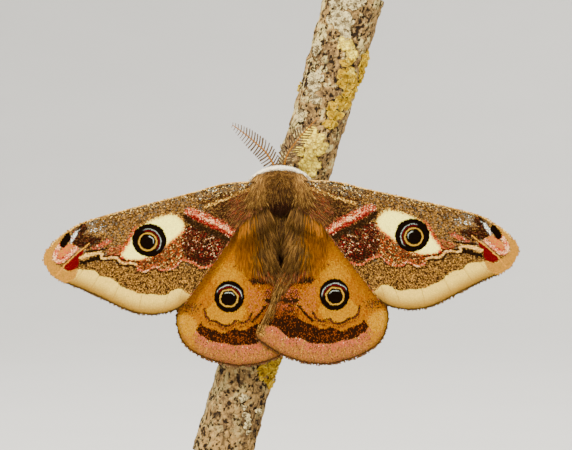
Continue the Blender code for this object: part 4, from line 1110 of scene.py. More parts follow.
def thorax_fur():
    """Woolly hair all round the thorax, lying towards the tail."""
    fur = Fur("thorax_fur", 51)
    count = bpy.context.scene.moth_sizes.thorax_hairs
    z = fur.chance.uniform(3.6, 8.75, count)
    around = fur.chance.uniform(-math.pi, math.pi, count)
    coat = Coat(z, 52, "fur_dark 2 fur_brown 6 fur_tan 3")
    shoulder = smoothstep((np.abs(np.sin(around)) - 0.5) / 0.3) * smoothstep((z - 4.2) / 1.0)
    coat.lay(shoulder * 0.6, "fur_tan 5 fur_brown 4 fur_pale 1")
    coat.lay(smoothstep((5.6 - z) / 0.8) * (1 - 0.7 * shoulder) * 0.95, "fur_red 8 fur_dark 3")
    coat.lay(smoothstep((z - 6.6) / 1.2) * 0.7, "fur_tan 5 fur_brown 3")
    belly = smoothstep((np.abs(around) - 1.9) / 0.4)
    coat.lay(belly * 0.7, "fur_pale 2 fur_tan 3 fur_brown 2")
    lies = down(0.35 * np.sin(around) + fur.chance.normal(0, 0.2, count))
    fur.add(*trunk_at(around, z), lies, coat.varied(0.25), trunk_map(around, z), (0.8, 1.5), (28, 58),
            (-20, 20), 24, scale=1 - 0.25 * belly)
    count = 1900
    share = fur.chance.uniform(0.05, 0.95, count)
    off = np.column_stack([0 * share, fur.chance.uniform(-0.75, -0.3, count),
                           fur.chance.uniform(-0.55, -0.05, count)])
    roots = Curve(COLLAR).at(share) + off
    x = roots[:, 0]
    lies = down(0.14 * x + fur.chance.normal(0, 0.2, count))
    normals = np.stack([0.12 * x, -np.ones(count), 0.35 + 0 * x], -1)
    coat = Coat(x, 53, "fur_brown 5 fur_tan 5 fur_dark 1")
    flat = np.column_stack([0.3 + 0.4 * share, 0.95 + 0 * share])
    fur.add(roots, normals, lies, coat.varied(0.2), flat, (0.7, 1.3), (15, 45), (-20, 10), 20)
    return fur.mesh()


def shoulder_fur(side):
    """The tegula: a flat pad and the long tan hair that spreads from it over the forewing's root."""
    fur = Fur(f"tegula_fur_{side_name(side)}", 61)
    arc = Curve(SHOULDER_ARC * (side, 1, 1))
    thick = 0.05 + 0.2 * np.sin(math.pi * np.linspace(0.02, 0.98, 14))
    fur.core(tube(arc.at(np.linspace(0, 1, 14)) + (0, 0.2, 0), thick, 12, flat=0.5), "fur_brown")
    count = 3000
    share = fur.chance.random(count) ** 1.3
    off = fur.chance.normal(0, 0.42, count)
    roots = arc.at(share) + np.stack([off * 0.95 * side, 0.28 * off**2, 0.2 * (1 - share)], -1)
    normals = np.stack([0.35 * off * side + 0.12 * side, -np.ones(count), 0.15 + 0 * off], -1)
    lies = down((0.12 + 0.35 * off + fur.chance.normal(0, 0.12, count)) * side)
    coat = Coat(off, 62, "fur_tan 6 fur_brown 4 fur_pale 2 fur_dark 1")
    coat.lay(smoothstep((share - 0.6) / 0.4) * 0.35, "fur_brown 3 fur_olive 3")
    flat = np.column_stack([0.1 + 0.8 * share, 0.5 + 0.15 * off])
    fur.add(roots, normals, lies, coat.varied(0.2), flat, (0.8, 1.5), (14, 38), (-14, 10), 20)
    return fur.mesh()


def collar_fur():
    """The white ruff: a band round the front of the thorax and the dense tufts that stand off it."""
    fur = Fur("collar_fur", 71)
    arch = Curve(COLLAR)
    shares = np.linspace(0, 1, 40)
    fur.core(tube(arch.at(shares), 0.04 + 0.08 * np.sin(math.pi * shares), 14, flat=2.2), "white")
    count = 5200
    share = fur.chance.random(count)
    along = unit(arch.at(np.minimum(share + 0.01, 1)) - arch.at(np.maximum(share - 0.01, 0)))
    outward = unit(np.cross(along, (0, 1, 0)))
    outward *= np.where(outward[:, 2:3] > 0, 1, -1)
    turn = np.radians(fur.chance.uniform(-60, 170, count))[:, None]
    front = np.array((0.0, -1.0, 0.0))
    radius = (0.04 + 0.08 * np.sin(math.pi * share))[:, None]
    normals = np.cos(turn) * front + np.sin(turn) * outward
    roots = arch.at(share) + radius * (2.1 * np.cos(turn) * front + 0.9 * np.sin(turn) * outward)
    lies = outward + 0.5 * along * fur.chance.normal(0, 1, (count, 1)) + (0, -0.25, 0)
    coat = Coat(share, 72, "white 8 pale 1")
    coat.lay(smoothstep((np.abs(share - 0.5) - 0.38) / 0.1) * 0.6, "fur_pale 2 white 2 blue_grey 1")
    flat = np.column_stack([0.02 + 0.96 * share, 0.3 + 0.15 * turn[:, 0]])
    fur.add(roots, normals, lies, coat.varied(0.05), flat, (0.22, 0.6), (25, 75), (0, 50),
            scale=1 - 0.9 * np.abs(share - 0.5), parts=2, shade=0.2)
    return fur.mesh()


def rump_fur():
    """Long olive-brown hair from the back of the thorax over the front of the abdomen."""
    fur = Fur("rump_fur", 81)
    count = 4200
    around = fur.chance.uniform(-1.5, 1.5, count)
    off = np.abs(around)
    z = fur.chance.uniform(1.4, 4.6, count) - 1.2 * smoothstep((1.1 - off) / 0.4)
    middle = smoothstep((0.3 - off) / 0.25)
    outer = smoothstep((off - 0.7) / 0.5)
    inward = np.sign(around) * (0.18 * outer - 0.42 * np.abs(np.sin(around)) * (1 - outer))
    lies = down(inward + fur.chance.normal(0, 0.14, count))
    coat = Coat(z, 82, "fur_dark 3 fur_olive 7 fur_brown 5 fur_tan 2")
    coat.lay(middle * 0.8, "fur_dark 5 fur_olive 2 fur_red 1")
    coat.lay(smoothstep((off - 0.8) / 0.3) * 0.45, "fur_gold 3 fur_tan 1 fur_olive 1")
    fur.add(*trunk_at(around, z), lies, coat.varied(0.25), trunk_map(around, z), (2.0, 3.4), (22, 40),
            (-24, -4), 8, scale=1 - 0.4 * middle)
    return fur.mesh()


def abdomen_fur():
    """Short hair in rings all round the abdomen."""
    fur = Fur("abdomen_fur", 91)
    count = 3900
    around = fur.chance.uniform(-math.pi, math.pi, count)
    z = fur.chance.uniform(-7.3, 3.0, count)
    coat = Coat(z, 92, "fur_dark 4 fur_brown 4 fur_olive 2")
    coat.lay(smoothstep((np.mod((3.0 - z) / SEGMENT, 1) - 0.6) / 0.2) * 0.7,
             "fur_tan 3 fur_pale 2 fur_brown 1")
    coat.lay(smoothstep((np.abs(around) - 2.0) / 0.5) * 0.5, "fur_tan 3 fur_pale 1 fur_brown 2")
    lies = down(fur.chance.normal(0, 0.15, count))
    fur.add(*trunk_at(around, z), lies, coat.varied(0.2), trunk_map(around, z), (0.8, 1.35), (14, 30),
            (-10, 4), 10, wide=1.2)
    return fur.mesh()


def head_fur():
    """Short tufts on the brow, cheeks and palps."""
    fur = Fur("head_fur", 101)
    ways = unit(fur.chance.normal(0, 1, (1500, 3)))
    ways[:, 2] = np.where(ways[:, 2] < -0.2, -ways[:, 2], ways[:, 2])
    roots = np.array(HEAD_CENTRE) + ways * HEAD_HALF
    clear = [np.linalg.norm((roots - eye) / (np.array(EYE_HALF) + 0.12), axis=1) > 1 for eye in EYES]
    clear = np.all(clear, axis=0)
    roots = roots[clear]
    ways = ways[clear]
    x, y, z = ways.T
    lies = np.stack([0.3 * x, 0.9 + 0 * x, -0.3 + 0 * x], -1)
    coat = Coat(x, 102, "fur_brown 5 fur_tan 3 fur_dark 1")
    coat.lay(smoothstep((y - 0.2) / 0.5) * 0.5, "fur_pale 2 fur_tan 2")
    flat = np.column_stack([np.arctan2(x, y) / 7 + 0.5, z * 0.45 + 0.5])
    fur.add(roots, ways, lies, coat.varied(0.2), flat, (0.35, 0.6), (20, 40), (-10, 10), wide=0.9, parts=2)
    count = 900
    around = fur.chance.uniform(-2.2, 2.2, count)
    z = fur.chance.uniform(8.4, 9.22, count)
    lies = np.stack([0.5 * np.sin(around) + fur.chance.normal(0, 0.2, count), 0.7 + 0 * z, 0.5 + 0 * z], -1)
    coat = Coat(z, 103, "fur_brown 5 fur_tan 4 fur_dark 1")
    flat = np.column_stack([around / 7 + 0.5, 0.96 + (z - 8.4) / 30])
    fur.add(*trunk_at(around, z), lies, coat.varied(0.2), flat, (0.35, 0.6), (25, 60), (-10, 20),
            wide=0.9, parts=2)
    for side, _ in SIDES:
        tube_fur(fur, palp_path(side), lambda share: 0.32 - 0.2 * share, 260, 0.4,
                 "fur_brown 3 fur_tan 3", 0.02)
    return fur.mesh()


def tube_fur(fur, path, radius, count, length, blend, row):
    """Hair round a limb, lying towards its end."""
    share = fur.chance.random(count)
    ahead = unit(path.at(share + 0.02) - path.at(share - 0.02))
    side = unit(np.cross(ahead, (0, 0.3, 1.0)))
    over = np.cross(side, ahead)
    turn = fur.chance.uniform(0, 2 * math.pi, count)[:, None]
    normals = np.cos(turn) * side + np.sin(turn) * over
    roots = path.at(share) + normals * np.reshape(radius(share), (-1, 1))
    flat = np.column_stack([0.02 + 0.96 * share, row + 0.12 * turn[:, 0] / (2 * math.pi)])
    fur.add(roots, normals, ahead, Coat(share, 5, blend).varied(0.2), flat, (0.7, 1.2), (14, 34), (-10, 8),
            scale=length, wide=0.9, parts=2)


def leg_fur():
    """Short hair on the thighs, shanks and feet."""
    fur = Fur("leg_fur", 111)
    limbs = [Curve(leg_path(pair, side)[1:]) for side, _ in SIDES for pair in LEG_HIPS]
    for k, path in enumerate(limbs):
        tube_fur(fur, path, lambda share: leg_radii(share, 1) - 0.03, 850, 0.52,
                 "fur_brown 4 fur_tan 3 fur_pale 1", 0.15 * k)
    return fur.mesh()


def hindwing_hair(side):
    """Long hair that streams from the hindwing's root and along its inner edge."""
    fur = Fur(f"hindwing_hair_{side_name(side)}", 121)
    count = 15000
    place = np.column_stack([fur.chance.uniform(-3.2, 5.6, count),
                             2.6 - 13.2 * fur.chance.random(count) ** 1.2])
    inner = distance(place, HINDWING.inner.line)
    reach = np.interp(place[:, 1], *HIND_HAIR_REACH) * fur.chance.uniform(0.35, 1.3, count)
    wanted = (depth_in(place, HINDWING.outline) > 0.08) & (inner < reach)
    place = place[wanted]
    inner = inner[wanted]
    u, z = place.T
    coat = Coat(place, 122, "fur_dark 2 fur_olive 5 fur_brown 5 fur_tan 4")
    coat.lay(smoothstep((u - 2.3) / 1.6) * 0.8, "fur_gold 5 fur_orange 2 fur_brown 3 fur_olive 2")
    coat.lay(smoothstep((u - 3.3) / 1.2) * 0.85, "fur_orange 4 orange 2 fur_gold 3")
    coat.lay(smoothstep((-3.2 - z) / 1.5) * smoothstep((1.2 - inner) / 0.6) * 0.8,
             "fur_pale 2 fur_tan 3 fur_olive 4 fur_dark 2")
    coat.dab((1.8, -4.0), (1.6, 0.9), 0.7, "rust 1 fur_red 2 hem_pink 1", 0.4)
    outer = smoothstep((u - 1.4) / 2.6)
    lies = down((-0.44 * (1 - outer) + 0.04 * outer + fur.chance.normal(0, 0.07, len(u))) * side)
    fur.add(HINDWING.points(place, side, MEMBRANE / 2), HINDWING.normals(place, side), lies,
            coat.varied(0.15), (place + (3.6, 11)) / (10.0, 15.0), (1.9, 3.2), (8, 20), (-9, -2), 6,
            scale=np.interp(z, (-10, -4, 0, 2), (0.6, 0.75, 1, 1.15)),
            steep=22 * smoothstep((z - 0.2) / 2.0), shade=0.35)
    count = 2100
    share = fur.chance.random(count)
    place = FOREWING.inner.at(share * 0.24) + fur.chance.uniform(0, 0.75, (count, 1)) * (0.3, 0.95)
    u = place[:, 0]
    coat = Coat(place, 123, "fur_dark 2 fur_olive 5 fur_brown 5 fur_tan 3")
    coat.lay(smoothstep((u - 2.6) / 1.6) * 0.75, "fur_gold 5 fur_orange 2 fur_brown 3")
    outer = smoothstep((u - 1.8) / 2.4)
    lies = down((-0.34 * (1 - outer) + 0.08 * outer + fur.chance.normal(0, 0.08, count)) * side)
    roots = FOREWING.points(place, side, -fur.chance.uniform(0.05, 0.3, count))
    normals = np.tile((0.0, -1.0, 0.1), (count, 1))
    fur.add(roots, normals, lies, coat.varied(0.25), (place + (3.6, 11)) / (10.0, 16.0), (1.8, 3.6),
            (-2, 10), (-4, 4), 8)
    return fur.mesh()


def forewing_hair(side):
    """Rusty and tan hair that spreads over the forewing's root."""
    fur = Fur(f"forewing_hair_{side_name(side)}", 131)
    count = 2600
    place = np.column_stack([fur.chance.uniform(2.4, 6.0, count), fur.chance.uniform(1.6, 7.0, count)])
    kept = fur.chance.random(count) < smoothstep((6.4 - place[:, 0]) / 2.2)
    place = place[kept & (depth_in(place, FOREWING.outline) > 0.1)]
    out = unit(place - (1.0, 7.6))
    lies = np.stack([out[:, 0] * side, 0 * out[:, 0], out[:, 1]], -1)
    lies = lies + fur.chance.normal(0, 0.12, (len(out), 3))
    coat = Coat(place, 132, "rust_brown 3 fur_brown 4 fur_tan 3 fur_dark 1 hem_pink 1")
    coat.lay(smoothstep((place[:, 1] - 6.0) / 0.6) * 0.8, "fur_pale 2 fur_tan 1 blue_grey 3 fur_dark 1")
    fur.add(FOREWING.points(place, side, MEMBRANE / 2), FOREWING.normals(place, side), lies,
            coat.varied(0.2), (place - (2.0, 1.0)) / (6.0, 8.0), (0.7, 1.5), (8, 20), (-8, 0), 10,
            wide=0.8)
    return fur.mesh()


# Branch, lichens and stand


def noise_at(x, y, z):
    return noise.noise(Vector((x, y, z)))


def bark_radius(turn, z):
    """The branch's radius as in the solids: a little thicker at both ends, with shallow ridges."""
    swell = 0.32 * smoothstep((-z - 8) / 20) + 0.3 * smoothstep((z - 16) / 16)
    ridges = 0.16 * noise_at(2.2 * math.cos(turn), 2.2 * math.sin(turn), z * 0.35)
    return BRANCH_RADIUS - 0.1 + swell + ridges


def bark_relief(turn, z):
    """Fine bark on top of that, and how deep a place lies in a pit: plates, cracks along it, and pits."""
    place = Vector((3.6 * math.cos(turn), 3.6 * math.sin(turn), z))
    lumps = noise.fractal(place * 0.55, 1.0, 2.0, 4)
    grain = noise_at(place.x * 3.2, place.y * 3.2, z * 0.9)
    nearest, second = noise.voronoi(Vector((place.x * 0.75, place.y * 0.75, z * 0.42)))[0][:2]
    crack = 1 - float(smoothstep((second - nearest) / 0.16))
    bent = place + 0.25 * noise.noise_vector(place * 1.5)
    hole = noise.voronoi(Vector((bent.x * 1.7, bent.y * 1.7, bent.z * 1.35)))[0][0]
    where = noise.noise(place * 0.4 + Vector((2.0, 9.0, 4.0))) + 0.2 * math.sin(turn + math.pi)
    hole = float(smoothstep((0.3 + 0.3 * where - hole) / 0.14))
    pit = max(hole, 0.55 * crack * float(smoothstep((lumps + 0.3) / 0.3)))
    return 0.19 * lumps + 0.07 * grain - 0.2 * pit, pit


def bark_mesh(sides=120, steps=430):
    """The cut branch about its own axis, bored from below for the rod."""
    noise.seed_set(7)
    heights = np.linspace(BRANCH_LOW, BRANCH_HIGH, steps + 1)
    turns = turns_of(sides)
    relief = np.array([[bark_relief(turn, z) for turn in turns] for z in heights])
    radii = np.array([[bark_radius(turn, z) for turn in turns] for z in heights]) + relief[..., 0]
    wall = circle(turns, radii, heights[:, None]).reshape(-1, 3)
    lower = [wall[:sides] * (share, share, 1) + (0, 0, lift) for share, lift in ((0.93, 0.0), (0.75, 0.03))]
    lower += [circle(turns, ROD_RADIUS + 0.2, BRANCH_LOW + lift) for lift in (0.0, 0.1, BORE_DEPTH)]
    upper = [wall[-sides:] * (share, share, 1) + (0, 0, lift)
             for share, lift in ((0.93, 0.0), (0.6, -0.04), (0.25, -0.06))]
    faces = [loft_faces(steps + 1, sides)[0]]
    points = [wall]
    start = len(wall)
    for cuts, outer in ((lower, np.arange(sides)), (upper, np.arange(start - sides, start))):
        for cut in cuts:
            points.append(cut)
            inner = np.arange(start, start + sides)
            faces.append(band(outer, inner))
            outer = inner
            start += sides
        points.append(cut.mean(0)[None])
        faces.append(fan(outer, start))
        start += 1
    mesh = mesh_of("branch_bark", np.vstack(points), faces, outward=True)
    inside = np.zeros(start - len(wall))
    write(mesh, "cut", np.append(np.zeros(len(wall)), inside + 1))
    write(mesh, "pit", np.append(relief[..., 1].ravel(), inside))
    return mesh


def on_bark(around, z, across, up, lift):
    """A point on the branch near a place at an angle from its front and a height, lifted off the bark."""
    turn = math.radians(around + math.degrees(across / BRANCH_RADIUS))
    radius = bark_radius(turn - math.pi / 2, z + up) + lift
    return np.array((radius * math.sin(turn), -radius * math.cos(turn), z + up))


def lichen_rosette(around, z, reach, seed, sides=36, steps=5):
    """A lobed lichen that follows the bark: its rim is cut into lobes, wrinkled and curled up."""
    chance = np.random.default_rng(seed)
    turn = turns_of(sides)
    phases = chance.uniform(0, 2 * math.pi, 4)
    lobes = int(chance.integers(3, 7))
    thick = chance.uniform(0.12, 0.26)
    curl = chance.uniform(0.05, 0.22)
    rim = 0.78 + 0.36 * np.sqrt(np.abs(np.sin(turn * lobes / 2 + phases[0])))
    rim += 0.2 * np.sin(2 * turn + phases[1])
    rim += 0.1 * np.sin(turn * (lobes + 2) + phases[2]) + 0.05 * np.sin(turn * 11 + phases[3])
    stretch = chance.uniform(0.65, 1.0)
    rim *= 1 - (1 - stretch) * np.cos(turn - chance.uniform(0, math.pi)) ** 2
    points = []
    for top in (True, False):
        for k in range(steps, 0, -1):
            share = k / steps
            for angle, edge in zip(turn, rim):
                across = reach * share * edge * math.cos(angle)
                up = reach * share * edge * math.sin(angle)
                fold = noise_at(across * 2.3, up * 2.3, seed) + 0.5 * noise_at(across * 5, up * 5,
                                seed + 3.0)
                raised = curl * share**3 * (0.6 + 0.7 * math.sin(lobes * angle + phases[0]))
                lift = thick * (0.75 + 1.3 * fold) + raised
                lift = max(lift, 0.04) if top else min(lift - 0.1, 0.35) - 0.22 * (1 - share)
                points.append(on_bark(around, z, across, up, lift))
    points += [on_bark(around, z, 0, 0, thick), on_bark(around, z, 0, 0, -0.3)]
    top, under = np.arange(2 * steps * sides).reshape(2, steps, sides)
    faces = []
    for face, tip, way in ((top, len(points) - 2, 1), (under, len(points) - 1, -1)):
        faces += [band(outer, inner)[:, ::way] for outer, inner in zip(face, face[1:])]
        faces.append(fan(face[-1], tip)[:, ::way])
    faces.append(band(top[0], under[0])[:, ::-1])
    edges = np.repeat(np.arange(steps, 0, -1) / steps, sides)
    return np.array(points), faces, np.concatenate([edges, edges, (0.0, 0.0)])


# Where lichens grow: angle from the branch's front, height, reach of the group, and how many plates it has
PALE_LICHENS = rows(
    4, -10, 12.4, 0.5, 4, -16, 13.5, 0.4, 3, -4, 14.2, 0.4, 3, -20, 11.3, 0.4, 3, 2, 12.6, 0.7, 4,
    11, 13.3, 0.5, 3, 19, 11.9, 0.7, 5, 5, 11, 0.8, 5, 14, 10, 0.8, 5, -6, 10.1, 0.6, 4, 6, 8.9, 0.7, 4,
    30, 24.6, 0.7, 4, 8, 26, 0.7, 4, 36, 22.6, 0.4, 3, 150, 8, 1.6, 9, 205, -8, 1.6, 9, 245, 19, 1.4, 8,
)
WHITE_LICHENS = rows(
    4, -10, 31, 0.9, 6, -2, 29.2, 0.9, 6, -16, 28.6, 0.8, 5, -28, 30.4, 0.7, 4, 10, 31.4, 0.7, 4,
    -36, 28.2, 0.4, 3, 4, 27.4, 0.4, 3, -30, 19.6, 0.5, 5, -18, 18.2, 0.4, 4, -38, 20.6, 0.4, 4,
    -22, 20.8, 0.4, 3, -44, 15.6, 0.5, 4, -30, 13.6, 0.4, 3, -50, 24.5, 0.5, 4, 10, -21.2, 0.3, 3,
    17, -22.3, 0.26, 3, 24, -23.2, 0.26, 4, 33, -24.3, 0.3, 4, 40, -25.2, 0.26, 3, 52, -22.4, 0.3, 3,
    240, 10.5, 1.4, 9, 120, -18, 1.3, 8, 180, 24, 1.6, 9,
)
GOLD_LICHENS = rows(
    3, 36, 21.8, 1.3, 50, 20.6, 1.1, 43, 18.7, 1.1, 30, 17.4, 1.2, 25, 16, 0.8, 74, 24.6, 1.2, 84, 22.9, 1,
    22, 23.6, 0.6, 66, -16.6, 1.3, 86, -15.4, 1.2, 42, -17, 1, 60, -18.3, 0.7, 150, 20, 2.2,
    215, 4, 1.6, 130, -4, 1.5,
)


def lichen_group(places, seed):
    """Overlapping plates of lichen at each place."""
    chance = np.random.default_rng(seed)
    plates = []
    for around, z, reach, count in places:
        for _ in range(int(count)):
            across, up = chance.normal(0, 0.55 * reach, 2)
            turn = around + math.degrees(across / BRANCH_RADIUS)
            wide = chance.uniform(0.4, 0.85) * min(1.0, reach / 0.5)
            plates.append(lichen_rosette(turn, z + up, wide, int(chance.integers(1000))))
    return plates


def lichen_lobe(sides=14):
    """One cupped lobe of the golden lichen, about a millimetre across before it is scaled."""
    chance = np.random.default_rng(9)
    turn = turns_of(sides)
    rim = 1 + 0.18 * np.sin(3 * turn + 1) + chance.uniform(-0.08, 0.08, sides)
    over = [circle(turn, 0.5 * share * rim, lift * (0.7 + 0.5 * np.sin(2 * turn)))
            for share, lift in ((0.35, 0.06), (0.72, 0.14), (1.0, 0.3))]
    rings = [*over, *(row - (0, 0, 0.09) for row in over[::-1])]
    ends = [rings[0].mean(0) - (0, 0, 0.01), rings[-1].mean(0)]
    mesh = mesh_of("lichen_lobe", np.vstack([*rings, ends]), loft_faces(len(rings), sides), outward=True)
    write(mesh, "edge", np.append(np.repeat((0.35, 0.72, 1.0, 1.0, 0.72, 0.35), sides), (0.0, 0.0)))
    return mesh


def lichen_ground(sides=40):
    """Bark patches that the golden lichen grows on, with how thickly it grows."""
    points = []
    cover = []
    faces = []
    cell = (np.arange(sides - 1)[:, None] * sides + np.arange(sides - 1)[None]).ravel()
    for around, z, reach in GOLD_LICHENS:
        a = len(points) + cell
        faces.append(np.stack([a, a + 1, a + sides + 1, a + sides], -1))
        steps = (np.arange(sides) / (sides - 1) * 2 - 1) * reach * 1.15
        for up in steps:
            for across in steps:
                off = math.hypot(across, up) / reach + 0.35 * noise_at(across * 1.4, up * 1.4, z)
                points.append(on_bark(around, z, across, up, 0.02))
                cover.append(float(smoothstep((1.05 - off) / 0.15)))
    mesh = mesh_of("lichen_ground", np.array(points), faces)
    write(mesh, "cover", np.array(cover))
    return mesh


def turned(profile, sides):
    """A solid turned about z from (radius, height) pairs that run up its outside."""
    rings = [circle(turns_of(sides), radius, z) for radius, z in profile]
    ends = [(0, 0, profile[0][1]), (0, 0, profile[-1][1])]
    return np.vstack([*rings, ends]), loft_faces(len(profile), sides)


# Node trees


class Value:
    """A socket that can stand in a Python expression, which adds the Math nodes that it needs."""

    def __init__(self, graph, socket):
        self.graph = graph
        self.socket = socket

    def math(self, operation, *others):
        return self.graph.math(operation, self, *others)

    def __add__(self, other):
        return self.math("ADD", other)

    def __sub__(self, other):
        return self.math("SUBTRACT", other)

    def __mul__(self, other):
        return self.math("MULTIPLY", other)

    def __truediv__(self, other):
        return self.math("DIVIDE", other)

    def __rsub__(self, other):
        return self.graph.math("SUBTRACT", other, self)

    def __rtruediv__(self, other):
        return self.graph.math("DIVIDE", other, self)

    __radd__ = __add__
    __rmul__ = __mul__

    def rise(self, low, high):
        """From 0 at low to 1 at high, smoothly."""
        inputs = {"Value": self, "From Min": low, "From Max": high}
        return self.graph.node("ShaderNodeMapRange", inputs, interpolation_type="SMOOTHSTEP")

    def near(self, middle, half, soft=0.05):
        """1 within a half width of a value, and 0 away from it."""
        return (self - middle).math("ABSOLUTE").rise(half + soft, half - soft)


class Graph:
    """A node tree under construction."""

    def __init__(self, tree):
        self.tree = tree

    def node(self, kind, inputs=None, out=0, **settings):
        """Adds a node, sets it up, feeds its sockets, and gives one of its outputs, or a list for several.

        A socket takes a plain value, another node's output, or a list of outputs where it joins them.
        """
        made = self.tree.nodes.new(kind)
        for key, value in settings.items():
            setattr(made, key, value)
        for key, value in (inputs or {}).items():
            for item in value if isinstance(value, list) else [value]:
                if isinstance(item, Value):
                    self.tree.links.new(item.socket, made.inputs[key])
                else:
                    made.inputs[key].default_value = item
        if isinstance(out, tuple):
            return [Value(self, made.outputs[key]) for key in out]
        return Value(self, made.outputs[out])

    def math(self, operation, *values):
        return self.node("ShaderNodeMath", dict(enumerate(values)), operation=operation)

    def vector_math(self, operation, *values):
        return self.node("ShaderNodeVectorMath", dict(enumerate(values)), operation=operation)

    def scaled(self, vector, by):
        return self.node("ShaderNodeVectorMath", {0: vector, "Scale": by}, operation="SCALE")

    def split(self, vector):
        return self.node("ShaderNodeSeparateXYZ", {0: vector}, (0, 1, 2))

    def attribute(self, name, out="Color"):
        return self.node("ShaderNodeAttribute", out=out, attribute_name=name)

    def position(self):
        """Object coordinates in millimetres."""
        return self.scaled(self.node("ShaderNodeTexCoord", out="Object"), 1000.0)

    def stretched(self, *scale):
        """Object coordinates in millimetres, scaled along each axis."""
        return self.node("ShaderNodeMapping", {0: self.position(), "Scale": scale})

    def noise(self, vector, scale, detail=2.0, rough=0.5):
        inputs = {"Vector": vector, "Scale": scale, "Detail": detail, "Roughness": rough}
        return self.node("ShaderNodeTexNoise", inputs)

    def mix(self, share, a, b):
        """Colour b over colour a by a share."""
        a, b = (value if isinstance(value, Value) else (*value, 1.0) for value in (a, b))
        return self.node("ShaderNodeMix", {0: share, 6: a, 7: b}, 2, data_type="RGBA")

    def bump(self, height, strength, distance=0.0001):
        return self.node("ShaderNodeBump", {"Height": height, "Strength": strength, "Distance": distance})


def finish(name, recipe, roughness, specular=0.5, metal=0.0, coat=0.0):
    """A material whose recipe feeds the shader's sockets from the piece's coordinates and attributes."""
    material = bpy.data.materials.new(name)
    material.use_nodes = True
    inputs = material.node_tree.nodes["Principled BSDF"].inputs
    inputs["Roughness"].default_value = roughness
    inputs["Specular IOR Level"].default_value = specular
    inputs["Metallic"].default_value = metal
    inputs["Coat Weight"].default_value = coat
    for key, value in recipe(Graph(material.node_tree)).items():
        material.node_tree.links.new(value.socket, inputs[key])
    return material


def wing_recipe(spot_of):
    """Wing scales: painted colours, the eyespot's rings and a fine broken relief."""
    def recipe(graph):
        at = graph.position()
        u, z, chance = graph.split(graph.attribute("place", "Vector"))
        colour = eyespot(graph, graph.attribute("paint"), u, z, chance, spot_of)
        speck = graph.noise(at, 9.0, 2.0)
        tone = (chance - 0.5) * 0.24 + (speck - 0.5) * 0.35 + 1.0
        return {"Base Color": graph.scaled(colour, tone), "Roughness": 0.55 + 0.3 * speck,
                "Normal": graph.bump(graph.noise(at, 14.0, 1.0), 0.25)}
    return recipe


def eyespot(graph, ground, u, z, chance, spot_of):
    """The rings of an eyespot over a ground colour: black, crescents, tan ring and pupil."""
    (cu, cz), (half_u, half_z), (ru, rz), (to_u, to_z) = spot_of.values()
    off_u = u - ru
    off_z = z - rz
    wobble = graph.noise(graph.node("ShaderNodeCombineXYZ", {0: u, 1: z}), 1.6, 1.0) - 0.5
    ragged = (chance - 0.5) * 0.1
    outer = length_of((u - cu) / half_u, (z - cz) / half_z) + wobble * 0.1 + ragged * 0.6
    inner = length_of(off_u, off_z * 1.04) + wobble * 0.22 + ragged
    toward = (off_u * to_u + off_z * to_z) / (inner + 0.01)
    crescent = toward.rise(0.1, 0.5)
    pale = inner.near(1.68, 0.05, 0.05) * crescent * chance.rise(0.1, 0.6)
    colour = graph.mix(outer.rise(1.03, 0.985), ground, tint("ink"))
    colour = graph.mix(pale, colour, tint("blue_white") * 0.5)
    colour = graph.mix(inner.near(1.44, 0.07) * crescent * 0.9, colour, tint("crimson"))
    colour = graph.mix(inner.near(1.12, 0.095, 0.04), colour, tint("ring"))
    arc = inner.near(0.74, 0.03, 0.06) * toward.rise(0.5, 0.85)
    return graph.mix(arc, colour, tint("blue_white") * 0.75)


def length_of(a, b):
    return (a * a + b * b).math("SQRT")


def fur_recipe(graph):
    """Hair: painted colours with a little streaking."""
    at = graph.position()
    streak = graph.noise(at, 5.0, 3.0)
    return {"Base Color": graph.scaled(graph.attribute("paint"), 0.8 + streak * 0.4),
            "Normal": graph.bump(graph.noise(at, 20.0, 1.0), 0.3)}


def eye_recipe(graph):
    """Compound eyes: near black with a fine faceted relief."""
    facet = graph.node("ShaderNodeTexVoronoi",
                       {"Vector": graph.position(), "Scale": 14.0, "Randomness": 0.2})
    return {"Base Color": graph.mix(facet, (0.02, 0.012, 0.008), (0.006, 0.004, 0.003)),
            "Normal": graph.bump(facet, 0.3)}


def claw_recipe(graph):
    """Claws: brown with dark bands."""
    at = graph.position()
    return {"Base Color": graph.mix(graph.noise(at, 3.0, 2.0), (0.012, 0.006, 0.003), (0.06, 0.025, 0.01)),
            "Normal": graph.bump(graph.noise(at, 12.0, 2.0), 0.3)}


def shaft_recipe(graph):
    """Feeler shafts: golden orange, darker at the joints."""
    grain = graph.noise(graph.position(), 8.0, 3.0)
    colour = graph.mix(graph.attribute("joint", "Fac") * 0.7, tint("shaft"), tint("tine") * 0.8)
    return {"Base Color": graph.scaled(colour, 0.8 + 0.4 * grain), "Normal": graph.bump(grain, 0.4)}


def tine_recipe(graph):
    """Tines: mottled brown."""
    grain = graph.noise(graph.position(), 10.0, 3.0)
    return {"Base Color": graph.mix(grain.rise(0.3, 0.7), tint("tine") * 0.7, tint("tine") * 1.5),
            "Normal": graph.bump(grain, 0.3)}


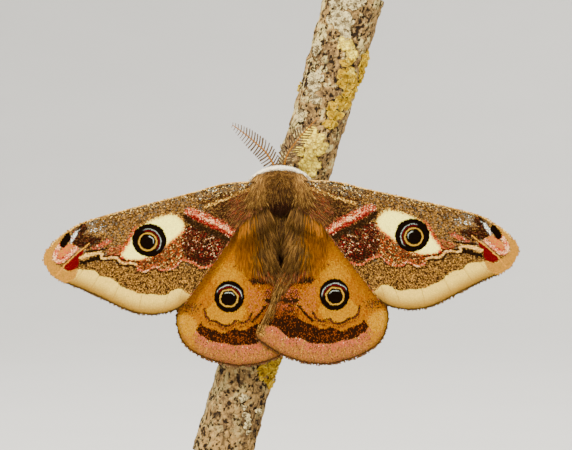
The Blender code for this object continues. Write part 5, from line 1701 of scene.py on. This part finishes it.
def bark_recipe(graph):
    """Bark: tan and brown plates, black specks, pits and cracks darkened with painted shade, pale crust, and
    rings on the cut ends.
    """
    at = graph.position()
    stretched = graph.stretched(1.0, 1.0, 0.6)
    broad = graph.noise(stretched, 0.45, 5.0, 0.65)
    fine = graph.noise(at, 2.6, 5.0, 0.7)
    specks = graph.noise(stretched, 1.9, 4.0, 0.7)
    crust = graph.noise(at, 0.62, 6.0, 0.7)
    x, _, height = graph.split(at)
    left = (x - (height - MOTH_HEIGHT) * math.tan(BRANCH_LEAN)).rise(-0.6, -3.4)
    crusted = (crust + left * 0.07).rise(0.525, 0.59) * (height.rise(14.0, 46.0) * 0.6 + 0.3)
    colour = graph.mix(broad.rise(0.4, 0.6), tint("bark_brown"), tint("bark_tan"))
    colour = graph.mix(fine.rise(0.46, 0.62) * 0.7, colour, tint("bark_tan") * 1.5)
    colour = graph.mix(crusted, colour, tint("bark_grey"))
    colour = graph.mix((specks + left * 0.035).rise(0.545, 0.595), colour, tint("bark_dark"))
    # Painted shade: pits and cracks darkened by how deep they lie
    colour = graph.mix(graph.attribute("pit", "Fac").rise(0.2, 0.7), colour, tint("bark_dark"))
    rings = graph.node("ShaderNodeTexWave", {"Vector": at, "Scale": 0.9, "Distortion": 2.0, "Detail": 2.0},
                       wave_type="RINGS", rings_direction="Z")
    wood = graph.mix(rings, (0.3, 0.19, 0.08), (0.19, 0.11, 0.045))
    return {"Base Color": graph.mix(graph.attribute("cut", "Fac"), colour, wood),
            "Roughness": 0.8 + 0.15 * fine,
            "Normal": graph.bump(fine * 0.7 + specks.rise(0.66, 0.5), 0.9, 0.00016)}


def lichen_recipe(body, rim, shadow, gap_shade_and_specks):
    """A lichen whose rim is brighter than its wrinkled middle, with painted shade in its wrinkles and in the
    gaps between its lobes, and dark specks.
    """
    def recipe(graph):
        at = graph.position()
        grain = graph.noise(at, 2.6, 5.0, 0.65)
        specks = graph.noise(at, 5.5, 2.0)
        gaps = graph.noise(at, 1.5, 4.0, 0.6)
        bright = (graph.attribute("edge", "Fac") + grain * 0.6).rise(0.95, 1.25) * 0.7
        colour = graph.mix(bright, tint(body), tint(rim))
        # Painted shade: the shadow colour laid where the grain is high, as in wrinkles
        colour = graph.mix(grain.rise(0.5, 0.62) * 0.6, colour, tint(shadow))
        # Painted shade in the gaps between the lobes, then dark specks, both as strong as the recipe's last
        # setting
        colour = graph.mix(gaps.rise(0.515, 0.57) * gap_shade_and_specks, colour, tint(shadow) * 0.8)
        colour = graph.mix(specks.rise(0.58, 0.66) * gap_shade_and_specks, colour, tint("bark_dark") * 2)
        return {"Base Color": colour, "Normal": graph.bump(grain + gaps, 0.9, 0.0002)}
    return recipe


def gold_recipe(graph):
    """Golden lichen lobes: brighter at their rims, with painted shade in brown in the folds."""
    at = graph.position()
    grain = graph.noise(at, 1.6, 4.0, 0.6)
    pale = (graph.attribute("edge", "Fac") * 0.5 + grain).rise(0.92, 1.08)
    # Painted shade: the shadow colour laid where the grain is low, as in folds
    colour = graph.mix(grain.rise(0.5, 0.37) * 0.7, tint("lichen_gold"), tint("lichen_shadow"))
    return {"Base Color": graph.mix(pale * 0.35, colour, tint("lichen_pale")),
            "Normal": graph.bump(graph.noise(at, 6.0, 3.0), 0.5)}


def wood_recipe(graph):
    """Waxed dark wood with its grain along x."""
    grain = graph.noise(graph.stretched(0.04, 0.5, 0.5), 1.6, 6.0, 0.6)
    pores = graph.noise(graph.stretched(0.25, 4.0, 4.0), 1.0, 2.0)
    colour = graph.mix(grain.rise(0.35, 0.65), (0.035, 0.015, 0.008), (0.11, 0.05, 0.022))
    return {"Base Color": graph.mix(pores.rise(0.6, 0.72) * 0.5, colour, (0.015, 0.007, 0.004)),
            "Roughness": 0.4 + 0.2 * pores, "Normal": graph.bump(pores, 0.15)}


def steel_recipe(graph):
    """Brushed steel with fine marks round the rod."""
    marks = graph.noise(graph.stretched(0.6, 0.6, 14.0), 2.0, 3.0)
    return {"Base Color": graph.mix(marks, (0.5, 0.5, 0.51), (0.66, 0.66, 0.66)),
            "Roughness": 0.24 + 0.2 * marks,
            "Normal": graph.bump(marks, 0.1)}


def floor_recipe(graph):
    """A pale floor, faintly mottled."""
    gap_shade_and_specks = graph.noise(graph.position(), 0.02, 4.0)
    return {"Base Color": graph.mix(gap_shade_and_specks, (0.5, 0.5, 0.5), (0.54, 0.54, 0.54))}


def new_tree(name, **sockets):
    """A Geometry Nodes tree with a mesh input, more inputs by name and kind, and a mesh output."""
    tree = bpy.data.node_groups.new(name, "GeometryNodeTree")
    for label, kind in {"Geometry": "Geometry", **sockets}.items():
        tree.interface.new_socket(label.replace("_", " "), in_out="INPUT", socket_type="NodeSocket" + kind)
    tree.interface.new_socket("Geometry", in_out="OUTPUT", socket_type="NodeSocketGeometry")
    graph = Graph(tree)
    entry = tree.nodes.new("NodeGroupInput")
    return graph, {socket.name: Value(graph, socket) for socket in entry.outputs if socket.name}


def close_tree(graph, shapes, material=None):
    """Ends a tree: joined, instances realized, and with its material if it has one for all."""
    real = graph.node("GeometryNodeRealizeInstances",
                      {0: graph.node("GeometryNodeJoinGeometry", {0: shapes})})
    if material:
        real = graph.node("GeometryNodeSetMaterial", {"Geometry": real, "Material": material})
    graph.tree.links.new(real.socket, graph.tree.nodes.new("NodeGroupOutput").inputs[0])
    return graph


def run_tree(mesh, graph, values):
    """The plain mesh that a tree makes of a mesh, with its inputs set by identifier."""
    carrier = placed(mesh.name + "_carrier", mesh)
    step = carrier.modifiers.new("Build", "NODES")
    step.node_group = graph.tree
    for item in graph.tree.interface.items_tree:
        if item.in_out == "INPUT" and item.name in values:
            step[item.identifier] = values[item.name]
    result = bpy.data.meshes.new_from_object(carrier.evaluated_get(bpy.context.evaluated_depsgraph_get()))
    bpy.data.objects.remove(carrier)
    if not result.polygons:
        raise RuntimeError(f"{mesh.name}: its node tree made nothing")
    return result


def swept(graph, curve, sides, radius):
    """A capped tube along a curve."""
    circle = graph.node("GeometryNodeCurvePrimitiveCircle", {"Resolution": sides, "Radius": 1.0},
                        mode="RADIUS")
    inputs = {"Curve": curve, "Profile Curve": circle, "Scale": radius, "Fill Caps": True}
    return graph.node("GeometryNodeCurveToMesh", inputs)


def tine_tree(graph, inputs):
    """One tine of unit length along x: a bent taper with a row of fine cilia down each side."""
    bend = graph.node("GeometryNodeCurveQuadraticBezier", {
        "Resolution": 7, "Start": (0.0, 0.0, 0.0), "Middle": (0.5, 0.0, 0.0), "End": (1.0, 0.13, 0.0)})
    share = graph.node("GeometryNodeSplineParameter")
    parts = [swept(graph, bend, 5, inputs["Tine thickness"] * (1.0 - share * 0.4))]
    for side in (-1, 1):
        spots = graph.node("GeometryNodeCurveToPoints", {"Curve": bend, "Count": inputs["Cilia"]},
                           mode="COUNT")
        cone = graph.node("GeometryNodeMeshCone", {
            "Vertices": 3, "Radius Top": 0.0, "Radius Bottom": 0.014, "Depth": 0.13}, fill_type="NONE")
        lean = graph.node("FunctionNodeEulerToRotation", {0: (-math.radians(62) * side, 0.0, -0.5 * side)})
        copies = {"Points": spots, "Instance": cone, "Rotation": lean}
        parts.append(graph.node("GeometryNodeInstanceOnPoints", copies))
    return graph.node("GeometryNodeJoinGeometry", {0: parts})


def feeler_tree(shaft_material, tine_material):
    """A feathery feeler from its middle line: a jointed shaft and tines in two double rows."""
    graph, inputs = new_tree(
        "Feathery feeler", Tines="Int", Cilia="Int", Tine_length="Float", Tine_thickness="Float",
        Shaft_radius="Float", Joints="Int", Lean_left="Float", Lean_right="Float", Seed="Int")
    path = graph.node("GeometryNodeMeshToCurve", {0: inputs["Geometry"]})
    fine = graph.node("GeometryNodeResampleCurve", {"Curve": path, "Count": 160}, mode="COUNT")
    share = graph.node("GeometryNodeSplineParameter")
    joint = (share * inputs["Joints"] * (2 * math.pi)).math("COSINE")
    radius = inputs["Shaft radius"] * (1.0 - share * 0.55) * (1.0 + joint * 0.1)
    marks = {"Geometry": fine, "Name": "joint", "Value": joint.rise(-0.55, -0.95)}
    marked = graph.node("GeometryNodeStoreNamedAttribute", marks, data_type="FLOAT", domain="POINT")
    shaft = swept(graph, marked, 10, radius)
    shapes = [graph.node("GeometryNodeSetMaterial", {"Geometry": shaft, "Material": shaft_material})]
    tine = graph.node("GeometryNodeSetMaterial",
                      {"Geometry": tine_tree(graph, inputs), "Material": tine_material})
    doubled = ((-1, 0.12, 0.0), (1, 0.12, 0.0), (-1, 0.42, 0.12), (1, 0.42, 0.12))
    for row, (side, lift, shift) in enumerate(doubled):
        points, tangent = graph.node("GeometryNodeCurveToPoints", {"Curve": path, "Count": inputs["Tines"]},
                                     ("Points", "Tangent"), mode="COUNT")
        along = (graph.node("GeometryNodeInputIndex") + shift) / inputs["Tines"]
        across = graph.vector_math("CROSS_PRODUCT", tangent, (0.0, 1.0, 0.0))
        wobble = graph.node("FunctionNodeRandomValue", {2: -0.05, 3: 0.05, "Seed": inputs["Seed"] + row}, 1,
                            data_type="FLOAT")
        lean = inputs["Lean left" if side < 0 else "Lean right"] + wobble
        out = graph.scaled(across, lean.math("SINE") * side)
        way = graph.vector_math("ADD", out, graph.scaled(tangent, lean.math("COSINE")))
        way = graph.vector_math("ADD", way, (0.0, lift, 0.0))
        turn = graph.node("FunctionNodeAlignRotationToVector", {"Vector": way}, axis="X")
        turn = graph.node("FunctionNodeAlignRotationToVector", {"Rotation": turn, "Vector": tangent},
                          axis="Y", pivot_axis="X")
        profile = (along * 0.64 + 0.33).math("MULTIPLY", math.pi).math("SINE").math("POWER", 0.8)
        offset = graph.scaled(tangent, inputs["Tine length"] * (shift * 0.22))
        moved = graph.node("GeometryNodeSetPosition", {"Geometry": points, "Offset": offset})
        shapes.append(graph.node("GeometryNodeInstanceOnPoints", {
            "Points": moved, "Instance": tine, "Rotation": turn, "Scale": inputs["Tine length"] * profile}))
    return close_tree(graph, shapes)


def lichen_tree(material):
    """Lobes scattered over ground by how thickly it is covered, each turned and scaled by chance."""
    graph, inputs = new_tree("Scattered lobes", Lobe="Object", Spacing="Float", Smallest="Float",
                             Largest="Float", Seed="Int")
    cover = graph.node("GeometryNodeInputNamedAttribute", {"Name": "cover"}, data_type="FLOAT")
    points, upright = graph.node("GeometryNodeDistributePointsOnFaces", {
        "Mesh": inputs["Geometry"], "Distance Min": inputs["Spacing"], "Density Max": 60.0,
        "Density Factor": cover, "Seed": inputs["Seed"]}, ("Points", "Rotation"), distribute_method="POISSON")
    lobe = graph.node("GeometryNodeObjectInfo", {"Object": inputs["Lobe"]}, "Geometry")
    tilt = graph.node("FunctionNodeRandomValue", {
        0: (-0.5, -0.5, 0.0), 1: (0.5, 0.5, 6.28), "Seed": inputs["Seed"]}, data_type="FLOAT_VECTOR")
    tilt = graph.node("FunctionNodeEulerToRotation", {0: tilt})
    turn = graph.node("FunctionNodeRotateRotation", {"Rotation": upright, "Rotate By": tilt},
                      rotation_space="LOCAL")
    scale = graph.node("FunctionNodeRandomValue", {
        2: inputs["Smallest"], 3: inputs["Largest"], "Seed": inputs["Seed"] + 1}, 1, data_type="FLOAT")
    lobes = graph.node("GeometryNodeInstanceOnPoints", {
        "Points": points, "Instance": lobe, "Rotation": turn, "Scale": scale})
    return close_tree(graph, [lobes], material)


# Settings, operators and panel


def length_setting(name, description, default):
    """A setting that holds a length."""
    return FloatProperty(name=name, description=description, default=default, min=default / 5,
                         unit="LENGTH", precision=6)


class MothSizes(bpy.types.PropertyGroup):
    """Sizes of the coats and feelers."""

    scale_pitch: length_setting("Scale pitch", "Distance between neighbouring wing scales", 0.000092)
    scale_length: length_setting("Scale length", "Length of a wing scale", 0.00027)
    scale_width: length_setting("Scale width", "Width of a wing scale", 0.000135)
    hair_width: length_setting("Hair width", "Width of a hair tuft at its root", 0.00008)
    skin_voxel: length_setting("Skin voxel", "Fineness of the fused skin", 0.0001)
    tine_length: length_setting("Tine length", "Length of a feeler's longest tine", 0.0013)
    shaft_radius: length_setting("Shaft radius", "Radius of a feeler's shaft at its root", 0.000125)
    thorax_hairs: IntProperty(name="Thorax hairs", description="Number of hair tufts on the thorax",
                              default=10500, min=100)
    tines: IntProperty(name="Tines", description="Tines along each side of a feeler", default=19, min=3)


class MothColours(bpy.types.PropertyGroup):
    """Surface colours of the moth and its branch."""

    __annotations__ = {
        key: FloatVectorProperty(name=key.replace("_", " ").capitalize(), description=text, default=colour,
                                 subtype="COLOR", size=3, min=0.0, max=1.0)
        for key, (text, colour) in COLOURS.items()
    }


class MOTH_OT_skin(bpy.types.Operator):
    """Fuse trunk, head and legs into one skin"""

    bl_idname = "moth.skin"
    bl_label = "Skin"

    def execute(self, context):
        mesh = skin_mesh()
        paint_skin(mesh)
        legs = [f"leg_{pair}_{name}" for pair in LEG_HIPS for _, name in SIDES]
        skin = finish("Furred skin", fur_recipe, 0.8, 0.1)
        finished(mesh, [skin], MOTH, ["head", "thorax", "abdomen", *legs])
        return {"FINISHED"}


class MOTH_OT_eyes(bpy.types.Operator):
    """Make the compound eyes and the claws"""

    bl_idname = "moth.eyes"
    bl_label = "Eyes and claws"

    def execute(self, context):
        eyes = joined([ellipsoid(eye, EYE_HALF, 40, 56) for eye in EYES])
        glass = finish("Compound eye", eye_recipe, 0.3, coat=0.2)
        finished(mesh_of("eyes", *eyes, outward=True), [glass], MOTH, ["eye_left", "eye_right"])
        claws = []
        for side, pair, way in product((-1, 1), LEG_HIPS, (-1, 1)):
            grip = LEG_GRIPS[pair][side > 0]
            hook = Curve([round_branch(grip, 138 * side, LEG_HOLD),
                          round_branch(grip + way * 0.3, 143 * side, LEG_HOLD + 0.02),
                          round_branch(grip + way * 0.36, 149 * side, LEG_HOLD - 0.15)])
            claws.append(tube(hook.at(np.linspace(0, 1, 8)), np.linspace(0.09, 0.015, 8), 8, up=(0, 0, 1)))
        horn = finish("Claw", claw_recipe, 0.25)
        finished(mesh_of("claws", *joined(claws), outward=True), [horn], MOTH)
        return {"FINISHED"}


class MOTH_OT_wings(bpy.types.Operator):
    """Make the four wing membranes and the scales that cover them"""

    bl_idname = "moth.wings"
    bl_label = "Wings and scales"

    def execute(self, context):
        for wing in (FOREWING, HINDWING):
            material = finish(f"{wing.name.capitalize()} scales", wing_recipe(wing.eyespot), 0.7, 0.0)
            for side, name in SIDES:
                finished(membrane(wing, side), [material], MOTH, [f"{wing.name}_{name}"])
                finished(wing_scales(wing, side), [material], MOTH, smooth=False)
        return {"FINISHED"}


class MOTH_OT_fur(bpy.types.Operator):
    """Grow the fur of the body, collar, shoulders, legs and wing roots"""

    bl_idname = "moth.fur"
    bl_label = "Fur"

    def execute(self, context):
        hair = finish("Hair", fur_recipe, 0.62, 0.08)
        for mesh in (thorax_fur(), rump_fur(), abdomen_fur(), head_fur()):
            finished(mesh, [hair], MOTH)
        finished(leg_fur(), [hair], MOTH)
        finished(collar_fur(), [hair], MOTH, ["collar"])
        for side, name in SIDES:
            finished(shoulder_fur(side), [hair], MOTH, [f"tegula_{name}"])
            finished(hindwing_hair(side), [hair], MOTH)
            finished(forewing_hair(side), [hair], MOTH)
        return {"FINISHED"}


class MOTH_OT_feelers(bpy.types.Operator):
    """Build the feathery feelers along their middle lines"""

    bl_idname = "moth.feelers"
    bl_label = "Feelers"

    def execute(self, context):
        shaft = finish("Feeler shaft", shaft_recipe, 0.45, 0.15)
        tine = finish("Feeler tine", tine_recipe, 0.6, 0.15)
        graph = feeler_tree(shaft, tine)
        feelers = (("left", LEFT_FEELER, 65.0, 100.0), ("right", RIGHT_FEELER, 62.0, 62.0))
        for name, path, left, right in feelers:
            points = Curve(path).at(np.linspace(0, 1, 60))
            base = bpy.data.meshes.new(f"antenna_line_{name}")
            base.from_pydata(points.tolist(), [(k, k + 1) for k in range(len(points) - 1)], [])
            mesh = run_tree(base, graph, {
                "Tines": context.scene.moth_sizes.tines, "Cilia": 12, "Tine length": size("tine_length"),
                "Tine thickness": 0.08, "Shaft radius": size("shaft_radius"), "Joints": 20,
                "Lean left": math.radians(left), "Lean right": math.radians(right), "Seed": 3})
            mesh.name = f"feeler_{name}"
            finished(mesh, (), MOTH, [f"antenna_{name}"])
        return {"FINISHED"}


class MOTH_OT_branch(bpy.types.Operator):
    """Make the cut branch with its bark"""

    bl_idname = "moth.branch"
    bl_label = "Branch"

    def execute(self, context):
        finished(bark_mesh(), [finish("Bark", bark_recipe, 0.85, 0.15)], BRANCH, ["perch"])
        return {"FINISHED"}


class MOTH_OT_lichens(bpy.types.Operator):
    """Crust the branch with pale, white and golden lichens"""

    bl_idname = "moth.lichens"
    bl_label = "Lichens"

    def execute(self, context):
        # The third colour of each recipe is the painted shade for the wrinkles and the gaps between lobes
        kinds = (("pale", PALE_LICHENS, lichen_recipe("lichen_pale", "lichen_gold", "bark_tan", 0.25)),
                 ("white", WHITE_LICHENS, lichen_recipe("lichen_white", "lichen_white", "bark_brown", 0.85)))
        for name, places, recipe in kinds:
            made = lichen_group(places, 7)
            mesh = mesh_of(f"lichen_{name}", *joined([plate[:2] for plate in made]), outward=True)
            write(mesh, "edge", np.concatenate([edge for *_, edge in made]))
            finished(mesh, [finish(f"Lichen {name}", recipe, 0.85, 0.15)], BRANCH)
        lobe = placed("lobe", lichen_lobe())
        mesh = run_tree(lichen_ground(), lichen_tree(finish("Golden lichen", gold_recipe, 0.75, 0.15)), {
            "Lobe": lobe, "Spacing": 0.27, "Smallest": 0.5, "Largest": 1.05, "Seed": 4})
        bpy.data.objects.remove(lobe)
        mesh.name = "lichen_gold"
        finished(mesh, (), BRANCH)
        return {"FINISHED"}


class MOTH_OT_stand(bpy.types.Operator):
    """Make the display stand: a turned base and a leaning rod"""

    bl_idname = "moth.stand"
    bl_label = "Display stand"

    def execute(self, context):
        foot = (BASE_THICK - ROD_SINK + GAP - MOTH_HEIGHT) / math.cos(BRANCH_LEAN)
        head = BRANCH_LOW + BORE_DEPTH - GAP
        rod = [(0.0001, foot), (ROD_RADIUS - 0.1, foot), (ROD_RADIUS, foot + 0.1), (ROD_RADIUS, head - 0.1),
               (ROD_RADIUS - 0.1, head), (0.0001, head)]
        steel = finish("Brushed steel", steel_recipe, 0.3, metal=1.0)
        finished(mesh_of("rod", *turned(rod, 48), outward=True), [steel], BRANCH,
                 ["stand_rod"])
        rim = ((0.5, 0.0), (0.1, 0.15), (0.0, 0.5), (0.0, 3.7), (0.25, 4.1), (0.9, 4.35), (1.3, 4.4),
               (1.5, 4.55), (1.9, 4.85), (2.6, 5.0), (BASE_RADIUS - 4.0, 5.0), (BASE_RADIUS - 0.01, 5.0))
        base = turned([(BASE_RADIUS - inset, z) for inset, z in rim], 180)
        wood = finish("Waxed wood", wood_recipe, 0.45, 0.25)
        finished(mesh_of("base", *base, outward=True), [wood], Matrix.Translation((BASE_OFFSET, 0, 0)),
                 ["stand_base"])
        return {"FINISHED"}


class MOTH_OT_studio(bpy.types.Operator):
    """Set the plain pale floor, the soft lights and the camera"""

    bl_idname = "moth.studio"
    bl_label = "Studio"

    def execute(self, context):
        profile = [(0.3, 0.0), (0.6, 0.0)]
        bend = np.linspace(0.08, math.pi / 2, 24)
        profile += [(0.6 + 1.2 * math.sin(a), 1.2 - 1.2 * math.cos(a)) for a in bend]
        points, (walls, ends) = turned([*profile, (1.8, 1.6)], 96)
        mesh = mesh_of("floor", points[:-1], [walls, ends[:96]])
        mesh.materials.append(finish("Pale floor", floor_recipe, 0.8))
        mesh.polygons.foreach_set("use_smooth", np.full(len(mesh.polygons), True))
        mesh.flip_normals()
        floor = placed("floor", mesh)
        world = bpy.data.worlds.new("Soft surround")
        world.use_nodes = True
        world.node_tree.nodes["Background"].inputs["Color"].default_value = (1.0, 0.96, 0.87, 1.0)
        world.node_tree.nodes["Background"].inputs["Strength"].default_value = 1.3
        context.scene.world = world
        lights = (("key", (-0.34, -0.62, 0.5), 0.34, 16.5, (1.0, 0.95, 0.83)),
                  ("fill", (0.55, -0.6, 0.2), 0.5, 6.5, (1.0, 0.96, 0.86)),
                  ("top", (0.05, 0.12, 0.75), 0.5, 7.0, (1.0, 0.96, 0.87)),
                  ("rear", (0.5, 1.0, 0.9), 0.6, 14.0, (1.0, 0.97, 0.9)))
        for name, place, across, power, colour in lights:
            lamp = bpy.data.lights.new(name, "AREA")
            lamp.shape = "DISK"
            lamp.size = across
            lamp.energy = power
            lamp.color = colour
            light = placed(name, lamp)
            light.location = place
            light.rotation_euler = (Vector((0, 0, 0.04)) - Vector(place)).to_track_quat("-Z",
                                    "Y").to_euler()
        camera = bpy.data.cameras.new("camera")
        camera.lens = 180
        camera.sensor_width = 36
        view = placed("camera", camera)
        view.location = (0.00066, -0.3693, 0.0429)
        view.rotation_euler = (math.pi / 2, 0, 0)
        context.scene.camera = view
        return {"FINISHED"}


STEPS = (MOTH_OT_skin, MOTH_OT_eyes, MOTH_OT_wings, MOTH_OT_fur, MOTH_OT_feelers, MOTH_OT_branch,
         MOTH_OT_lichens, MOTH_OT_stand, MOTH_OT_studio)


class MOTH_PT_panel(bpy.types.Panel):
    """Lists the settings and the steps"""

    bl_idname = "MOTH_PT_panel"
    bl_label = "Emperor moth"
    bl_space_type = "VIEW_3D"
    bl_region_type = "UI"
    bl_category = "Moth"

    def draw(self, context):
        for group in (context.scene.moth_sizes, context.scene.moth_colours):
            for key in group.__annotations__:
                self.layout.prop(group, key)
        for step in STEPS:
            self.layout.operator(step.bl_idname)


CLASSES = (MothSizes, MothColours, *STEPS, MOTH_PT_panel)


def register():
    for cls in CLASSES:
        bpy.utils.register_class(cls)
    bpy.types.Scene.moth_sizes = PointerProperty(type=MothSizes)
    bpy.types.Scene.moth_colours = PointerProperty(type=MothColours)


def unregister():
    del bpy.types.Scene.moth_colours
    del bpy.types.Scene.moth_sizes
    for cls in reversed(CLASSES):
        bpy.utils.unregister_class(cls)


def main():
    register()
    for step in STEPS:
        group, name = step.bl_idname.split(".")
        getattr(getattr(bpy.ops, group), name)()


if __name__ == "__main__":
    main()
